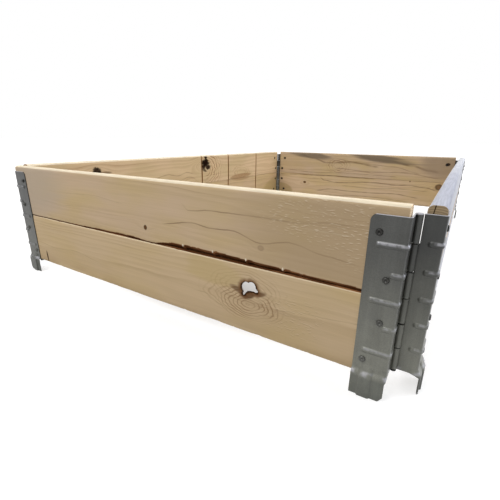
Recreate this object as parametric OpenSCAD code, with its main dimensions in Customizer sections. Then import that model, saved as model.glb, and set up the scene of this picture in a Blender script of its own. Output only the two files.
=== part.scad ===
// Pallet collar: four hinged wooden sides on stamped steel corner hinges. Each side is two boards, one
// above the other, held at both ends by a hinge leaf that is riveted through the boards. Each leaf is one
// sheet: a plate on the outer face, a bend, a web across the board's end, rolled knuckles on the pin, and a
// foot that grips the pallet or the collar below. The whole collar folds flat to either diagonal.
// The origin is on the floor under the middle of the collar. X runs along the short sides, Y along the long
// sides and Z up. The front is the short side at -Y.

/* [Collar] */
// Outside length over the boards, along the long sides
collar_length = 1200; // [900:10:1600]
// Outside width over the boards, along the short sides
collar_width = 800; // [600:10:1200]

/* [Boards] */
// Height of one board
board_height = 97; // [88:0.5:120]
// Thickness of the boards
board_thickness = 18; // [15:0.5:24]
// Gap between the two boards of a side
board_gap = 1; // [0.5:0.5:4]
// Rounding of the collar's top edges
crown_radius = 5; // [2:0.5:7]
// Rounding of the other long edges of the boards
edge_radius = 2; // [1:0.5:4]

/* [Divider grooves] */
// Width of the grooves in the inner faces of the long sides
groove_width = 7; // [5:0.5:12]
// Depth of the grooves
groove_depth = 6; // [4:0.5:9]
// Places of the grooves, from the middle of the side towards the back
groove_places = [0, 160, 370];

/* [Marks of the wood] */
// Place of the knot hole in the front lower board, from the middle of the board
knot_place = 194; // [-250:1:250]
// Height of the knot hole above the board's lower edge
knot_height = 67; // [20:1:75]
// Radius of each of the two lobes of the knot hole
knot_radius = 8; // [4:0.5:12]
// Distance between the two lobes
knot_spread = 10; // [2:0.5:15]
// Lean of the knot hole towards the left as it runs inwards, in degrees
knot_lean = 28; // [0:1:35]
// Fall of the knot hole as it runs inwards, in degrees
knot_fall = 24; // [0:1:30]
// Slope of the waney lower edge of the front upper board, in degrees
wane_slope = 42; // [30:1:60]
// Waney edge: place along the half board, and height of the missing wood there
wane_outline = [[-0.87, 0.2], [-0.08, 4], [0.045, 0.6], [0.16, 8], [0.4, 8.5], [0.9, 4], [1.01, 3.5]];

/* [Hinge sheet] */
// Thickness of the sheet
sheet = 1.5; // [1:0.1:2]
// Inside radius of the bend at the board's end
bend_radius = 1.5; // [0.5:0.1:2]
// Width of a leaf on the outer face, from the board's end
leaf_width = 35; // [32:0.5:50]
// Distance of a leaf's top below the collar's top
leaf_top_margin = 10.5; // [8:0.5:16]
// Distance of a leaf's lower edge above the boards' lower edge
leaf_bottom_margin = 1.5; // [0.5:0.5:4]
// Rounding of a leaf's upper corner
leaf_corner_radius = 7; // [2:0.5:10]

/* [Knuckles and pins] */
// Diameter of the hinge pins
pin_diameter = 5.1; // [4:0.1:6]
// Clearance all round a pin in its knuckles
pin_clearance = 0.06; // [0.03:0.01:0.1]
// Diameter of the peened end of a pin
pin_head_diameter = 6.6; // [6.2:0.1:7]
// Height of the peened end of a pin
pin_head_height = 0.8; // [0.5:0.1:1.4]
// Number of knuckles in one hinge
knuckle_count = 6; // [6:2:8]
// Gap between knuckles, one above the other
knuckle_gap = 0.8; // [0.4:0.1:1.5]
// Slit between a knuckle and the web of the other leaf
knuckle_slit = 0.6; // [0.4:0.1:2]
// Width of the seam where a rolled knuckle meets its own web
seam_gap = 0.3; // [0.2:0.1:0.6]
// Room between a knuckle and the boards opposite when the collar is folded flat
fold_clearance = 1.8; // [1.6:0.1:4]

/* [Ribs] */
// Width of the pressed ribs round the bend
rib_width = 6; // [5:0.5:7]
// Height of the pressed ribs
rib_height = 1.5; // [1:0.1:1.8]
// Distance from the leaf's free edge to the long ribs
rib_margin = 7; // [5:0.5:10]
// Length of the short ribs on the plate, from the board's end
short_rib_length = 7; // [5:0.5:7.5]
// Length of the ribs on the web, from the bend
web_rib_length = 8; // [5:0.5:10]

/* [Feet] */
// Depth of the feet below the boards
foot_drop = 26.5; // [18:0.5:32]
// Distance that a foot stands out from its plate
foot_offset = 4; // [3.8:0.1:6]
// Height of the joggle between plate and foot
joggle_height = 8; // [6:0.5:10]
// Width of the cut-off lower corner of a foot
foot_chamfer_width = 4; // [2:0.5:8]
// Height of the cut-off lower corner of a foot
foot_chamfer_height = 6; // [3:0.5:10]
// Width of the pressed channel down the middle of a foot
channel_width = 13; // [9:0.5:14]
// Height of the pressed channel
channel_height = 1.2; // [0.6:0.1:1.4]
// Length over which the channel fades out above the joggle
channel_reach = 6; // [4:0.5:7]
// Length of the slanted corner between web and foot
web_corner = 6; // [3:0.5:9]

/* [Rivets] */
// Diameter of the rivet shanks
rivet_diameter = 5; // [4:0.1:5.5]
// Clearance all round a rivet in plate and board
rivet_clearance = 0.05; // [0.03:0.01:0.2]
// Diameter of the domed heads
head_diameter = 9; // [7.5:0.1:9.4]
// Height of the domed heads
head_height = 2; // [1.2:0.1:2.2]
// Diameter of the clenched tails on the inner face
tail_diameter = 7.5; // [6.5:0.1:9]
// Height of the clenched tails
tail_height = 1.2; // [0.6:0.1:1.4]
// Diameter of the hollow in a clenched tail
tail_bore = 3; // [2:0.1:3.4]
// Depth of the hollow in a clenched tail
tail_bore_depth = 6; // [2:0.5:8]
// Distance of the two middle rivets from the board's end
rivet_near = 12.5; // [12.5:0.1:14]
// Distance of the two outer rivets from the board's end
rivet_far = 25; // [24:0.1:26]
// Distance of the outer rivets from the ends of the plate
rivet_margin = 18; // [15:0.5:22]

/* [Hidden] */
$fn = 48;
// overlap of pieces that become one solid
lap = 0.4;
// length by which a cutter passes a face
past = 2;
rivet_count = 4;

// heights above the floor
board_bottom = foot_drop;
upper_board_bottom = board_bottom + board_height + board_gap;
collar_top = upper_board_bottom + board_height;
leaf_bottom = board_bottom + leaf_bottom_margin;
leaf_top = collar_top - leaf_top_margin;
knuckle_pitch = (leaf_top - leaf_bottom) / knuckle_count;
joggle_top = board_bottom + joggle_height;
rivet_pitch = (leaf_top - leaf_bottom - 2 * rivet_margin) / (rivet_count - 1);

// hinge in plan, from the pin and the outer face of the boards
bore_radius = pin_diameter / 2 + pin_clearance;
knuckle_radius = bore_radius + sheet;
pin_depth = board_thickness + knuckle_radius + fold_clearance;
web_outside = -bore_radius;
web_inside = -knuckle_radius;
board_end = web_inside - bend_radius;
leaf_edge = board_end - leaf_width;
foot_side = web_inside;
web_cut = knuckle_radius + knuckle_slit;
bend_outer = bend_radius + sheet;

// rib and channel sections, each an arc of a circle
rib_round = (rib_height * rib_height + rib_width * rib_width / 4) / (2 * rib_height);
rib_depth = rib_round - rib_height;
channel_round = (channel_height * channel_height + channel_width * channel_width / 4) / (2 * channel_height);
channel_depth = channel_round - channel_height;
channel_middle = (leaf_edge + foot_side) / 2;
joggle_slant = atan2(foot_offset, joggle_height);
joggle_length = foot_offset / sin(joggle_slant);

wood_color = [0.72, 0.58, 0.40];
steel_color = [0.52, 0.54, 0.53];
rivet_color = [0.45, 0.46, 0.46];

// sides, counted round the collar; the frame of each has X along the side and Y inwards from its outer face
FRONT = 0;
RIGHT = 1;
BACK = 2;
LEFT = 3;
// ends of a side, seen from outside the collar
RIGHT_END = 0;
LEFT_END = 1;

function side_span(side) = side % 2 == 0 ? collar_width : collar_length;
function side_reach(side) = (side % 2 == 0 ? collar_length : collar_width) / 2;
function pin_place(side) = side_span(side) / 2 - pin_depth;
function board_length(side) = 2 * (pin_place(side) + board_end);
function rivet_place(row) = row == 0 || row == rivet_count - 1 ? rivet_far : rivet_near;
function rivet_height(row) = leaf_bottom + rivet_margin + row * rivet_pitch;
function knuckle_bottom(step) = leaf_bottom + step * knuckle_pitch;
function is_long_rib(step) = step % 2 == 1;
// the leaf at a right end has the topmost knuckle
function own_knuckle(step, end) = (knuckle_count - 1 - step + end) % 2 == 0;

module on_side(side) {
    rotate([0, 0, 90 * side]) translate([0, -side_reach(side), 0]) children();
}

module at_end(side, end) {
    on_side(side) mirror([end, 0, 0]) translate([pin_place(side), 0, 0]) children();
}

module inwards() {
    rotate([-90, 0, 0]) children();
}

// what a rounding takes off, with the corner at the origin
module corner_waste(radius) {
    difference() {
        translate([-past, -past]) square(radius + past);
        translate([radius, radius]) circle(radius);
        translate([radius, -past]) square(past);
        translate([-past, radius]) square(past);
    }
}

module board_section(top_radius) {
    difference() {
        square([board_thickness, board_height]);
        corner_waste(edge_radius);
        translate([board_thickness, 0]) mirror([1, 0]) corner_waste(edge_radius);
        translate([0, board_height]) mirror([0, 1]) corner_waste(top_radius);
        translate([board_thickness, board_height]) rotate(180) corner_waste(top_radius);
    }
}

module rivet_holes(side) {
    for (end = [RIGHT_END, LEFT_END]) {
        mirror([end, 0, 0]) translate([pin_place(side), 0, 0]) rivet_pattern() {
            cylinder(r = rivet_diameter / 2 + rivet_clearance, h = 2 * board_thickness, center = true);
        }
    }
}

module rivet_pattern() {
    for (row = [0 : rivet_count - 1]) {
        translate([board_end - rivet_place(row), 0, rivet_height(row)]) inwards() children();
    }
}

module divider_grooves(side) {
    way = side == RIGHT ? 1 : -1;
    for (place = groove_places) {
        translate([way * place - groove_width / 2, board_thickness - groove_depth, 0]) {
            cube([groove_width, groove_depth + past, collar_top + past]);
        }
    }
}

// a lost branch knot: two lobes that slope through the board with the branch
module knot_hole() {
    for (way = [-1, 1]) {
        translate([knot_place + way * knot_spread / 2, 0, board_bottom + knot_height]) {
            rotate([-knot_fall, 0, knot_lean]) inwards() translate([0, 0, -2 * knot_radius]) {
                cylinder(r = knot_radius, h = 2 * board_thickness + 4 * knot_radius);
            }
        }
    }
}

// the wood that is missing along the lower outer edge, as a prism laid at the slope of the log's surface
module waney_edge() {
    half = board_length(FRONT) / 2;
    rise = cos(wane_slope);
    top = [for (point = wane_outline) [point[0] * half, point[1] * rise]];
    first = top[0][0];
    last = top[len(top) - 1][0];
    outline = concat(top, [[last, -board_thickness], [first, -board_thickness]]);
    translate([0, 0, upper_board_bottom]) rotate([90 - wane_slope, 0, 0]) mirror([0, 0, 1]) {
        translate([0, 0, -board_thickness]) linear_extrude(height = 3 * board_thickness) polygon(outline);
    }
}

module board(side, bottom, top_radius) {
    color(wood_color) difference() {
        on_side(side) translate([0, 0, bottom]) rotate([90, 0, 90]) {
            linear_extrude(height = board_length(side), center = true) board_section(top_radius);
        }
        on_side(side) rivet_holes(side);
        if (side == LEFT || side == RIGHT) on_side(side) divider_grooves(side);
        if (side == FRONT && bottom == board_bottom) on_side(side) knot_hole();
        if (side == FRONT && bottom == upper_board_bottom) on_side(side) waney_edge();
    }
}

module upper_board(side) {
    board(side, upper_board_bottom, crown_radius);
}

module lower_board(side) {
    board(side, board_bottom, edge_radius);
}

// plate on the outer face, with its upper corner rounded
module leaf_plate() {
    low = joggle_top - lap;
    inwards() mirror([0, 1, 0]) translate([0, 0, -sheet]) linear_extrude(height = sheet) {
        translate([leaf_edge + leaf_corner_radius, low]) {
            square([board_end - leaf_edge - leaf_corner_radius, leaf_top - low]);
        }
        translate([leaf_edge, low]) square([leaf_corner_radius, leaf_top - leaf_corner_radius - low]);
        translate([leaf_edge + leaf_corner_radius, leaf_top - leaf_corner_radius]) circle(leaf_corner_radius);
    }
}

// bend round the board's end and web across it, as far as the cut-outs for the other leaf's knuckles
module leaf_web() {
    translate([0, 0, board_bottom]) linear_extrude(height = leaf_top - board_bottom) {
        translate([board_end, bend_radius]) intersection() {
            difference() {
                circle(bend_outer);
                circle(bend_radius);
            }
            translate([0, -bend_outer]) square(bend_outer);
        }
    }
    translate([web_inside, 0, 0]) rotate([90, 0, 90]) linear_extrude(height = sheet) polygon([
        [bend_radius, leaf_top],
        [bend_radius, board_bottom],
        [bend_radius + web_corner, leaf_bottom],
        [pin_depth - web_cut, leaf_bottom],
        [pin_depth - web_cut, leaf_top]
    ]);
}

// one rolled knuckle with the tongue of web that leads into it
module knuckle(step) {
    roll_end = acos((bore_radius - seam_gap) / knuckle_radius);
    reach = 2 * knuckle_radius;
    translate([0, pin_depth, knuckle_bottom(step) + knuckle_gap / 2]) {
        linear_extrude(height = knuckle_pitch - knuckle_gap) {
            difference() {
                circle(knuckle_radius);
                circle(bore_radius);
                polygon([
                    [0, 0],
                    [-reach, 0],
                    [-reach, -reach],
                    [-reach * cos(roll_end), -reach * sin(roll_end)]
                ]);
            }
            translate([web_inside, -web_cut - lap]) square([sheet, web_cut + lap]);
        }
    }
}

// solid of a pressed rib round the bend; a smaller radius gives the hollow behind it
module rib(start, radius, floor_face) {
    axis = -sheet + rib_depth;
    far = web_rib_length;
    turn = bend_outer - rib_depth;
    intersection() {
        union() {
            translate([start, axis, 0]) rotate([0, 90, 0]) cylinder(r = radius, h = board_end - start);
            translate([start, axis, 0]) sphere(radius);
        }
        translate([start - radius - past, -sheet - rib_height - past, -radius - past]) {
            cube([board_end - start + radius + past, rib_height + past + floor_face, 2 * (radius + past)]);
        }
    }
    translate([board_end, bend_radius, 0]) rotate([0, 0, -90]) rotate_extrude(angle = 90) intersection() {
        translate([turn, 0]) circle(radius);
        translate([bend_outer - floor_face, -radius]) square([rib_height + past, 2 * radius]);
    }
    intersection() {
        union() {
            translate([web_outside - rib_depth, bend_radius, 0]) inwards() cylinder(r = radius, h = far);
            translate([web_outside - rib_depth, bend_radius + far, 0]) sphere(radius);
        }
        translate([web_outside - floor_face, bend_radius, -radius - past]) {
            cube([rib_height + past + floor_face, far + radius + past, 2 * (radius + past)]);
        }
    }
}

module ribs(radius, floor_face) {
    for (step = [1 : knuckle_count - 1]) {
        start = rib_width / 2 + (is_long_rib(step) ? leaf_edge + rib_margin : board_end - short_rib_length);
        translate([0, 0, knuckle_bottom(step)]) rib(start, radius, floor_face);
    }
}

// joggle and foot below the plate
module foot() {
    turn = sheet * tan(joggle_slant / 2);
    intersection() {
        translate([leaf_edge, 0, 0]) rotate([90, 0, 90]) linear_extrude(height = foot_side - leaf_edge) {
            polygon([
                [0, joggle_top + lap],
                [-sheet, joggle_top + lap],
                [-sheet, joggle_top],
                [-sheet - foot_offset, board_bottom],
                [-sheet - foot_offset, 0],
                [-foot_offset, 0],
                [-foot_offset, board_bottom - turn],
                [0, joggle_top - turn]
            ]);
        }
        inwards() mirror([0, 1, 0]) translate([0, 0, -3 * foot_offset]) {
            linear_extrude(height = 4 * foot_offset) polygon([
                [leaf_edge, joggle_top + 2 * lap],
                [leaf_edge, 0],
                [foot_side - foot_chamfer_width, 0],
                [foot_side, foot_chamfer_height],
                [foot_side, joggle_top + 2 * lap]
            ]);
        }
    }
}

// arc of the pressed channel in plan; a smaller radius gives the hollow behind it
module channel_section(radius, floor_face) {
    intersection() {
        translate([0, channel_depth]) circle(radius);
        translate([-channel_width, -channel_height - past]) {
            square([2 * channel_width, channel_height + past + floor_face]);
        }
    }
}

// straight run of the channel in the foot
module foot_channel(radius, floor_face, low, high) {
    translate([channel_middle, -sheet - foot_offset, low]) linear_extrude(height = high - low) {
        channel_section(radius, floor_face);
    }
}

// channel from the foot's lower edge over the joggle, fading out on the plate
module channel() {
    fade = atan2(channel_height, channel_reach);
    foot_channel(channel_round, lap, 0, board_bottom);
    translate([channel_middle, -sheet - foot_offset, board_bottom]) rotate([-joggle_slant, 0, 0]) {
        translate([0, 0, -lap]) linear_extrude(height = joggle_length + 2 * lap) {
            channel_section(channel_round, lap);
        }
    }
    translate([channel_middle, -sheet, joggle_top]) rotate([-fade, 0, 0]) {
        translate([0, 0, -lap]) linear_extrude(height = channel_reach + lap) {
            channel_section(channel_round, lap);
        }
    }
}

module hinge_leaf(side, end) {
    color(steel_color) at_end(side, end) difference() {
        union() {
            leaf_plate();
            leaf_web();
            for (step = [0 : knuckle_count - 1]) {
                if (own_knuckle(step, end)) knuckle(step);
            }
            ribs(rib_round, lap);
            foot();
            channel();
        }
        ribs(rib_round - sheet, sheet + lap);
        foot_channel(channel_round - sheet, sheet + lap, -past, board_bottom - past);
        rivet_pattern() {
            cylinder(r = rivet_diameter / 2 + rivet_clearance, h = 2 * board_thickness, center = true);
        }
    }
}

// pin with peened ends that hold it between the top and the bottom knuckle
module hinge_pin(side) {
    low = leaf_bottom + knuckle_gap / 2;
    high = leaf_top - knuckle_gap / 2;
    color(rivet_color) at_end(side, RIGHT_END) translate([0, pin_depth, 0]) {
        translate([0, 0, low - pin_head_height]) {
            cylinder(d = pin_diameter, h = high - low + 2 * pin_head_height);
        }
        translate([0, 0, high]) cylinder(d = pin_head_diameter, h = pin_head_height);
        translate([0, 0, low - pin_head_height]) cylinder(d = pin_head_diameter, h = pin_head_height);
    }
}

// rivet with a domed head on the plate and a hollow clenched tail on the inner face
module rivet() {
    dome = (head_height * head_height + head_diameter * head_diameter / 4) / (2 * head_height);
    difference() {
        union() {
            intersection() {
                translate([0, 0, -sheet - head_height + dome]) sphere(dome);
                translate([0, 0, -sheet - head_height - past]) {
                    cylinder(d = head_diameter + past, h = head_height + past);
                }
            }
            translate([0, 0, -sheet - lap]) {
                cylinder(d = rivet_diameter, h = board_thickness + sheet + lap + tail_height);
            }
            translate([0, 0, board_thickness]) cylinder(d = tail_diameter, h = tail_height);
        }
        translate([0, 0, board_thickness + tail_height - tail_bore_depth]) {
            cylinder(d = tail_bore, h = tail_bore_depth + past);
        }
    }
}

module leaf_rivets(side, end) {
    color(rivet_color) at_end(side, end) rivet_pattern() rivet();
}

upper_board(FRONT);  // front_upper_board
lower_board(FRONT);  // front_lower_board
upper_board(RIGHT);  // right_upper_board
lower_board(RIGHT);  // right_lower_board
upper_board(BACK);  // back_upper_board
lower_board(BACK);  // back_lower_board
upper_board(LEFT);  // left_upper_board
lower_board(LEFT);  // left_lower_board
hinge_leaf(FRONT, RIGHT_END);  // front_side_right_leaf
hinge_leaf(FRONT, LEFT_END);  // front_side_left_leaf
hinge_leaf(RIGHT, LEFT_END);  // right_side_front_leaf
hinge_leaf(RIGHT, RIGHT_END);  // right_side_back_leaf
hinge_leaf(BACK, LEFT_END);  // back_side_right_leaf
hinge_leaf(BACK, RIGHT_END);  // back_side_left_leaf
hinge_leaf(LEFT, RIGHT_END);  // left_side_front_leaf
hinge_leaf(LEFT, LEFT_END);  // left_side_back_leaf
hinge_pin(FRONT);  // front_right_pin
hinge_pin(LEFT);  // front_left_pin
hinge_pin(RIGHT);  // back_right_pin
hinge_pin(BACK);  // back_left_pin
leaf_rivets(FRONT, RIGHT_END);  // front_side_right_rivets
leaf_rivets(FRONT, LEFT_END);  // front_side_left_rivets
leaf_rivets(RIGHT, LEFT_END);  // right_side_front_rivets
leaf_rivets(RIGHT, RIGHT_END);  // right_side_back_rivets
leaf_rivets(BACK, LEFT_END);  // back_side_right_rivets
leaf_rivets(BACK, RIGHT_END);  // back_side_left_rivets
leaf_rivets(LEFT, RIGHT_END);  // left_side_front_rivets
leaf_rivets(LEFT, LEFT_END);  // left_side_back_rivets
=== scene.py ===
"""Looks of a wooden pallet collar: sawn boards, pressed hinge leaves, hollow rivets and corner pins.

Sizes are in millimetres in the classes below and become metres when a mesh or a material is made. The
studio is in metres.
"""

from __future__ import annotations

import logging
import math
from collections.abc import Sequence
from dataclasses import dataclass, field
from enum import Enum
from typing import Any

import bmesh
import bpy
import numpy as np
from mathutils import Matrix, Vector

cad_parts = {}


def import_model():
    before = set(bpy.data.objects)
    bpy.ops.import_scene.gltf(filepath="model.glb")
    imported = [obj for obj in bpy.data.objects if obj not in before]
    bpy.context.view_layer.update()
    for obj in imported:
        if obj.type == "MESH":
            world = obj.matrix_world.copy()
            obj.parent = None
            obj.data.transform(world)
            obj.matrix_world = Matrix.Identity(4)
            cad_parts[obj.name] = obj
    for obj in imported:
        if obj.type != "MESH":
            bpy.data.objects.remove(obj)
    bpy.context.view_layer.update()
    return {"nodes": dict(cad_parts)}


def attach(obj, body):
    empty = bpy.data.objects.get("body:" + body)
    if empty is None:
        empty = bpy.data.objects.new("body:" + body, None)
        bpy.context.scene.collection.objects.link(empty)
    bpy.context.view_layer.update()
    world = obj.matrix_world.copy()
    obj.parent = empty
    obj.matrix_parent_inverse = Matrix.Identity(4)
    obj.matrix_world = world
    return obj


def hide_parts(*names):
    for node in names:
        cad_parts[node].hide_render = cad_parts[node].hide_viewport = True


log = logging.getLogger("collar")

MM = 0.001
Colour = tuple[float, float, float]
Point = tuple[float, float, float]
Spot = tuple[float, float]
Socket = bpy.types.NodeSocket
Tree = bpy.types.NodeTree
Mesh = bpy.types.Mesh
Groups = dict[str, Tree]


class Side(Enum):
    """The four sides of the collar, counted in quarter turns from the near short side."""

    FRONT = 0
    RIGHT = 1
    BACK = 2
    LEFT = 3

    @property
    def word(self) -> str:
        """The side's name as the nodes spell it."""
        return self.name.lower()

    @property
    def body(self) -> str:
        """The body that this side's pieces ride on."""
        return f"{self.word}_side"

    @property
    def is_short(self) -> bool:
        """True for the two short sides."""
        return self in (Side.FRONT, Side.BACK)


class End(Enum):
    """The two ends of a side, as seen from outside it."""

    RIGHT = 1
    LEFT = -1


class Row(Enum):
    """The two rows of boards."""

    UPPER = "upper"
    LOWER = "lower"


class Slot(Enum):
    """The material slots of the dressed pieces."""

    WOOD = "wood"
    SHEET = "hinge_sheet"
    RIVET = "rivet_steel"


@dataclass(frozen=True)
class CollarSizes:
    """The collar's main sizes, in millimetres."""

    length: float = 1200.0
    width: float = 800.0
    board_height: float = 97.0
    board_thickness: float = 18.0
    board_gap: float = 1.0
    crown_radius: float = 5.0
    edge_radius: float = 2.0
    foot_drop: float = 26.5
    sheet: float = 1.5
    bend_radius: float = 1.5
    bore_radius: float = 2.61
    pin_depth: float = 23.91
    rivet_heights: tuple[float, ...] = (46.0, 95.0, 144.0, 193.0)
    rivet_offsets: tuple[float, ...] = (25.0, 12.5, 12.5, 25.0)

    @property
    def board_end(self) -> float:
        """A board's end, counted from the pin."""
        return -(self.bore_radius + self.sheet + self.bend_radius)

    def side_length(self, side: Side) -> float:
        """The outside length of a side."""
        return self.width if side.is_short else self.length

    def reach(self, side: Side) -> float:
        """The distance of a side's outer face from the collar's middle."""
        return (self.length if side.is_short else self.width) / 2

    def pin_place(self, side: Side) -> float:
        """The distance of a pin from the middle of a side, along it."""
        return self.side_length(side) / 2 - self.pin_depth

    def board_length(self, side: Side) -> float:
        """The length of a side's boards."""
        return 2 * (self.pin_place(side) + self.board_end)

    def row_bottom(self, row: Row) -> float:
        """The height of a board's lower edge above the floor."""
        return self.foot_drop + (self.board_height + self.board_gap if row is Row.UPPER else 0.0)

    def rivet_places(self, side: Side) -> list[Spot]:
        """Lists the rivets of a side, first those of its right end.

        Args:
            side: The side.

        Returns:
            Places along the side and heights above the floor.
        """
        end = self.board_length(side) / 2
        places = [(end - off, height) for off, height in zip(self.rivet_offsets, self.rivet_heights)]
        return places + [(-along, height) for along, height in places]

    def to_row_frame(self, points: np.ndarray, side: Side) -> np.ndarray:
        """Turns points of a side's own frame into the shared frame, in metres.

        Args:
            points: Millimetres; X along the side, Y inwards from its outer face, Z up from the floor.
            side: The side that the points belong to.

        Returns:
            The same points in metres in the shared frame.
        """
        x, y, z = points[:, 0], points[:, 1] - self.reach(side), points[:, 2]
        cos, sin = ((1, 0), (0, 1), (-1, 0), (0, -1))[side.value]
        return np.stack([x * cos - y * sin, x * sin + y * cos, z], axis=1) * MM


SIZES = CollarSizes()
RIPPLE_VALUES = 4096
RIPPLE_START = 1024


def toned(colour: Colour, share: float) -> Colour:
    """Makes a colour darker or lighter by a share."""
    return tuple(share * value for value in colour)


def smooth(low: float, high: float, value: np.ndarray) -> np.ndarray:
    """A smooth step.

    Args:
        low: Where the step starts.
        high: Where it ends.
        value: What to step.

    Returns:
        0 before low, 1 after high and a smooth rise between them.
    """
    share = np.clip((value - low) / (high - low), 0, 1)
    return share * share * (3 - 2 * share)


def ripple(place: np.ndarray, pitch: float, seed: int) -> np.ndarray:
    """Smooth random values along a line.

    Args:
        place: Where the values are wanted.
        pitch: The distance between two random values.
        seed: The seed of the random draw.

    Returns:
        Values from -1 to 1.
    """
    values = np.random.default_rng(seed).uniform(-1, 1, RIPPLE_VALUES)
    step = place / pitch + RIPPLE_START
    base = np.floor(step).astype(int)
    share = smooth(0, 1, step - base)
    return values[base % RIPPLE_VALUES] * (1 - share) + values[(base + 1) % RIPPLE_VALUES] * share


def bell(place: np.ndarray, middle: float, width: float) -> np.ndarray:
    """A smooth bump that is 1 in its middle."""
    return np.exp(-(((place - middle) / width) ** 2))


class Graph:
    """Adds nodes to a node tree with short calls."""

    def __init__(self, tree: Tree) -> None:
        """Keeps the tree."""
        self.tree = tree

    def put(self, socket: Socket, value: Any) -> None:
        """Links a socket to another, or sets its value.

        Args:
            socket: The input to feed.
            value: A socket to link, or a plain value.
        """
        if isinstance(value, Socket):
            self.tree.links.new(value, socket)
        elif socket.type == "RGBA" and len(value) == 3:
            socket.default_value = (*value, 1.0)
        else:
            socket.default_value = value

    def node(self, kind: str, inputs: dict | None = None, **settings: Any) -> bpy.types.Node:
        """Adds a node.

        Args:
            kind: The node's type name.
            inputs: Values or links by the input's name or place.
            **settings: The node's own settings.

        Returns:
            The node.
        """
        made = self.tree.nodes.new(kind)
        for name, value in settings.items():
            setattr(made, name, value)
        for name, value in (inputs or {}).items():
            self.put(made.inputs[name], value)
        return made

    def math(self, operation: str, *values: Any) -> Socket:
        """Adds a Math node.

        Args:
            operation: The node's operation.
            *values: Its inputs in order.

        Returns:
            The result's socket.
        """
        return self.node("ShaderNodeMath", dict(enumerate(values)), operation=operation).outputs[0]

    def plus(self, first: Any, second: Any) -> Socket:
        """Adds two numbers."""
        return self.math("ADD", first, second)

    def minus(self, first: Any, second: Any) -> Socket:
        """Takes the second number from the first."""
        return self.math("SUBTRACT", first, second)

    def times(self, first: Any, second: Any) -> Socket:
        """Multiplies two numbers."""
        return self.math("MULTIPLY", first, second)

    def over(self, first: Any, second: Any) -> Socket:
        """Divides the first number by the second."""
        return self.math("DIVIDE", first, second)

    def times_plus(self, first: Any, second: Any, third: Any) -> Socket:
        """Multiplies two numbers and adds a third."""
        return self.math("MULTIPLY_ADD", first, second, third)

    def squares(self, first: Any, second: Any) -> Socket:
        """Adds the squares of two numbers."""
        return self.plus(self.times(first, first), self.times(second, second))

    def distance(self, first: Any, second: Any) -> Socket:
        """The distance that two steps at right angles make."""
        return self.math("SQRT", self.squares(first, second))

    def vector(self, operation: str, *values: Any, out: int = 0) -> Socket:
        """Adds a Vector Math node.

        Args:
            operation: The node's operation.
            *values: Its inputs in order.
            out: 0 for a vector result, 1 for a number.

        Returns:
            The result's socket.
        """
        inputs = dict(enumerate(values))
        return self.node("ShaderNodeVectorMath", inputs, operation=operation).outputs[out]

    def span(self, value: Any, low: Any, high: Any, start: Any = 0.0, stop: Any = 1.0) -> Socket:
        """Adds a smooth Map Range node.

        Args:
            value: What to map.
            low: Where the range starts.
            high: Where it ends.
            start: The result at low.
            stop: The result at high.

        Returns:
            The result's socket.
        """
        inputs = {"Value": value, "From Min": low, "From Max": high, "To Min": start, "To Max": stop}
        return self.node("ShaderNodeMapRange", inputs, interpolation_type="SMOOTHSTEP").outputs[0]

    def span_mm(self, value: Any, low: float, high: float, start: Any = 0.0, stop: Any = 1.0) -> Socket:
        """Adds a smooth Map Range node over a range in millimetres."""
        return self.span(value, low * MM, high * MM, start, stop)

    def mix(self, share: Any, first: Any, second: Any, blend: str = "MIX") -> Socket:
        """Adds a Mix node for colours.

        Args:
            share: The share of the second colour.
            first: The first colour.
            second: The second colour.
            blend: How the second is laid on the first.

        Returns:
            The colour's socket.
        """
        inputs = {0: share, 6: first, 7: second}
        return self.node("ShaderNodeMix", inputs, data_type="RGBA", blend_type=blend).outputs[2]

    def noise(self, place: Any, scale: float, detail: float = 2.0, rough: float = 0.5) -> Socket:
        """Adds a Noise Texture node.

        Args:
            place: The point to read it at.
            scale: Its scale.
            detail: Its detail.
            rough: Its roughness.

        Returns:
            The socket of the noise's value.
        """
        inputs = {"Vector": place, "Scale": scale, "Detail": detail, "Roughness": rough}
        return self.node("ShaderNodeTexNoise", inputs).outputs[0]

    def shake(self, place: Any, scale: float, detail: float = 2.0, rough: float = 0.5) -> Socket:
        """Adds a Noise Texture node with values round 0 in place of round 0.5."""
        return self.minus(self.noise(place, scale, detail, rough), 0.5)

    def attribute(self, name: str) -> Socket:
        """Reads a number that the mesh keeps for each point."""
        return self.node("ShaderNodeAttribute", attribute_name=name).outputs["Fac"]

    def stretched(self, place: Any, x: float, y: float, z: float) -> Socket:
        """Scales a point along each axis, for patterns that run along the grain."""
        return self.vector("MULTIPLY", place, (x, y, z))

    def point(self, x: Any, y: Any, z: Any) -> Socket:
        """Joins three numbers into a point."""
        return self.node("ShaderNodeCombineXYZ", {0: x, 1: y, 2: z}).outputs[0]

    def parts(self, place: Any) -> Sequence[Socket]:
        """Splits a point into its three numbers."""
        return self.node("ShaderNodeSeparateXYZ", {0: place}).outputs

    def group(self, tree: Tree, **inputs: Any) -> Any:
        """Places a shader node group.

        Args:
            tree: The group.
            **inputs: Its inputs, with _ for a space in their names.

        Returns:
            The node's outputs.
        """
        named = {name.replace("_", " "): value for name, value in inputs.items()}
        return self.node("ShaderNodeGroup", named, node_tree=tree).outputs

    def join(self, *shapes: Socket) -> Socket:
        """Joins shapes into one geometry.

        Args:
            *shapes: The shapes' sockets in order.

        Returns:
            The socket of the joined geometry.
        """
        made = self.node("GeometryNodeJoinGeometry")
        for shape in shapes:
            self.tree.links.new(shape, made.inputs[0])
        return made.outputs[0]


def new_material(name: str) -> tuple[bpy.types.Material, Graph, bpy.types.Node]:
    """Starts a material.

    Args:
        name: Its name.

    Returns:
        The material, its graph and its shader.
    """
    made = bpy.data.materials.new(name)
    made.use_nodes = True
    return made, Graph(made.node_tree), made.node_tree.nodes["Principled BSDF"]


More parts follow.
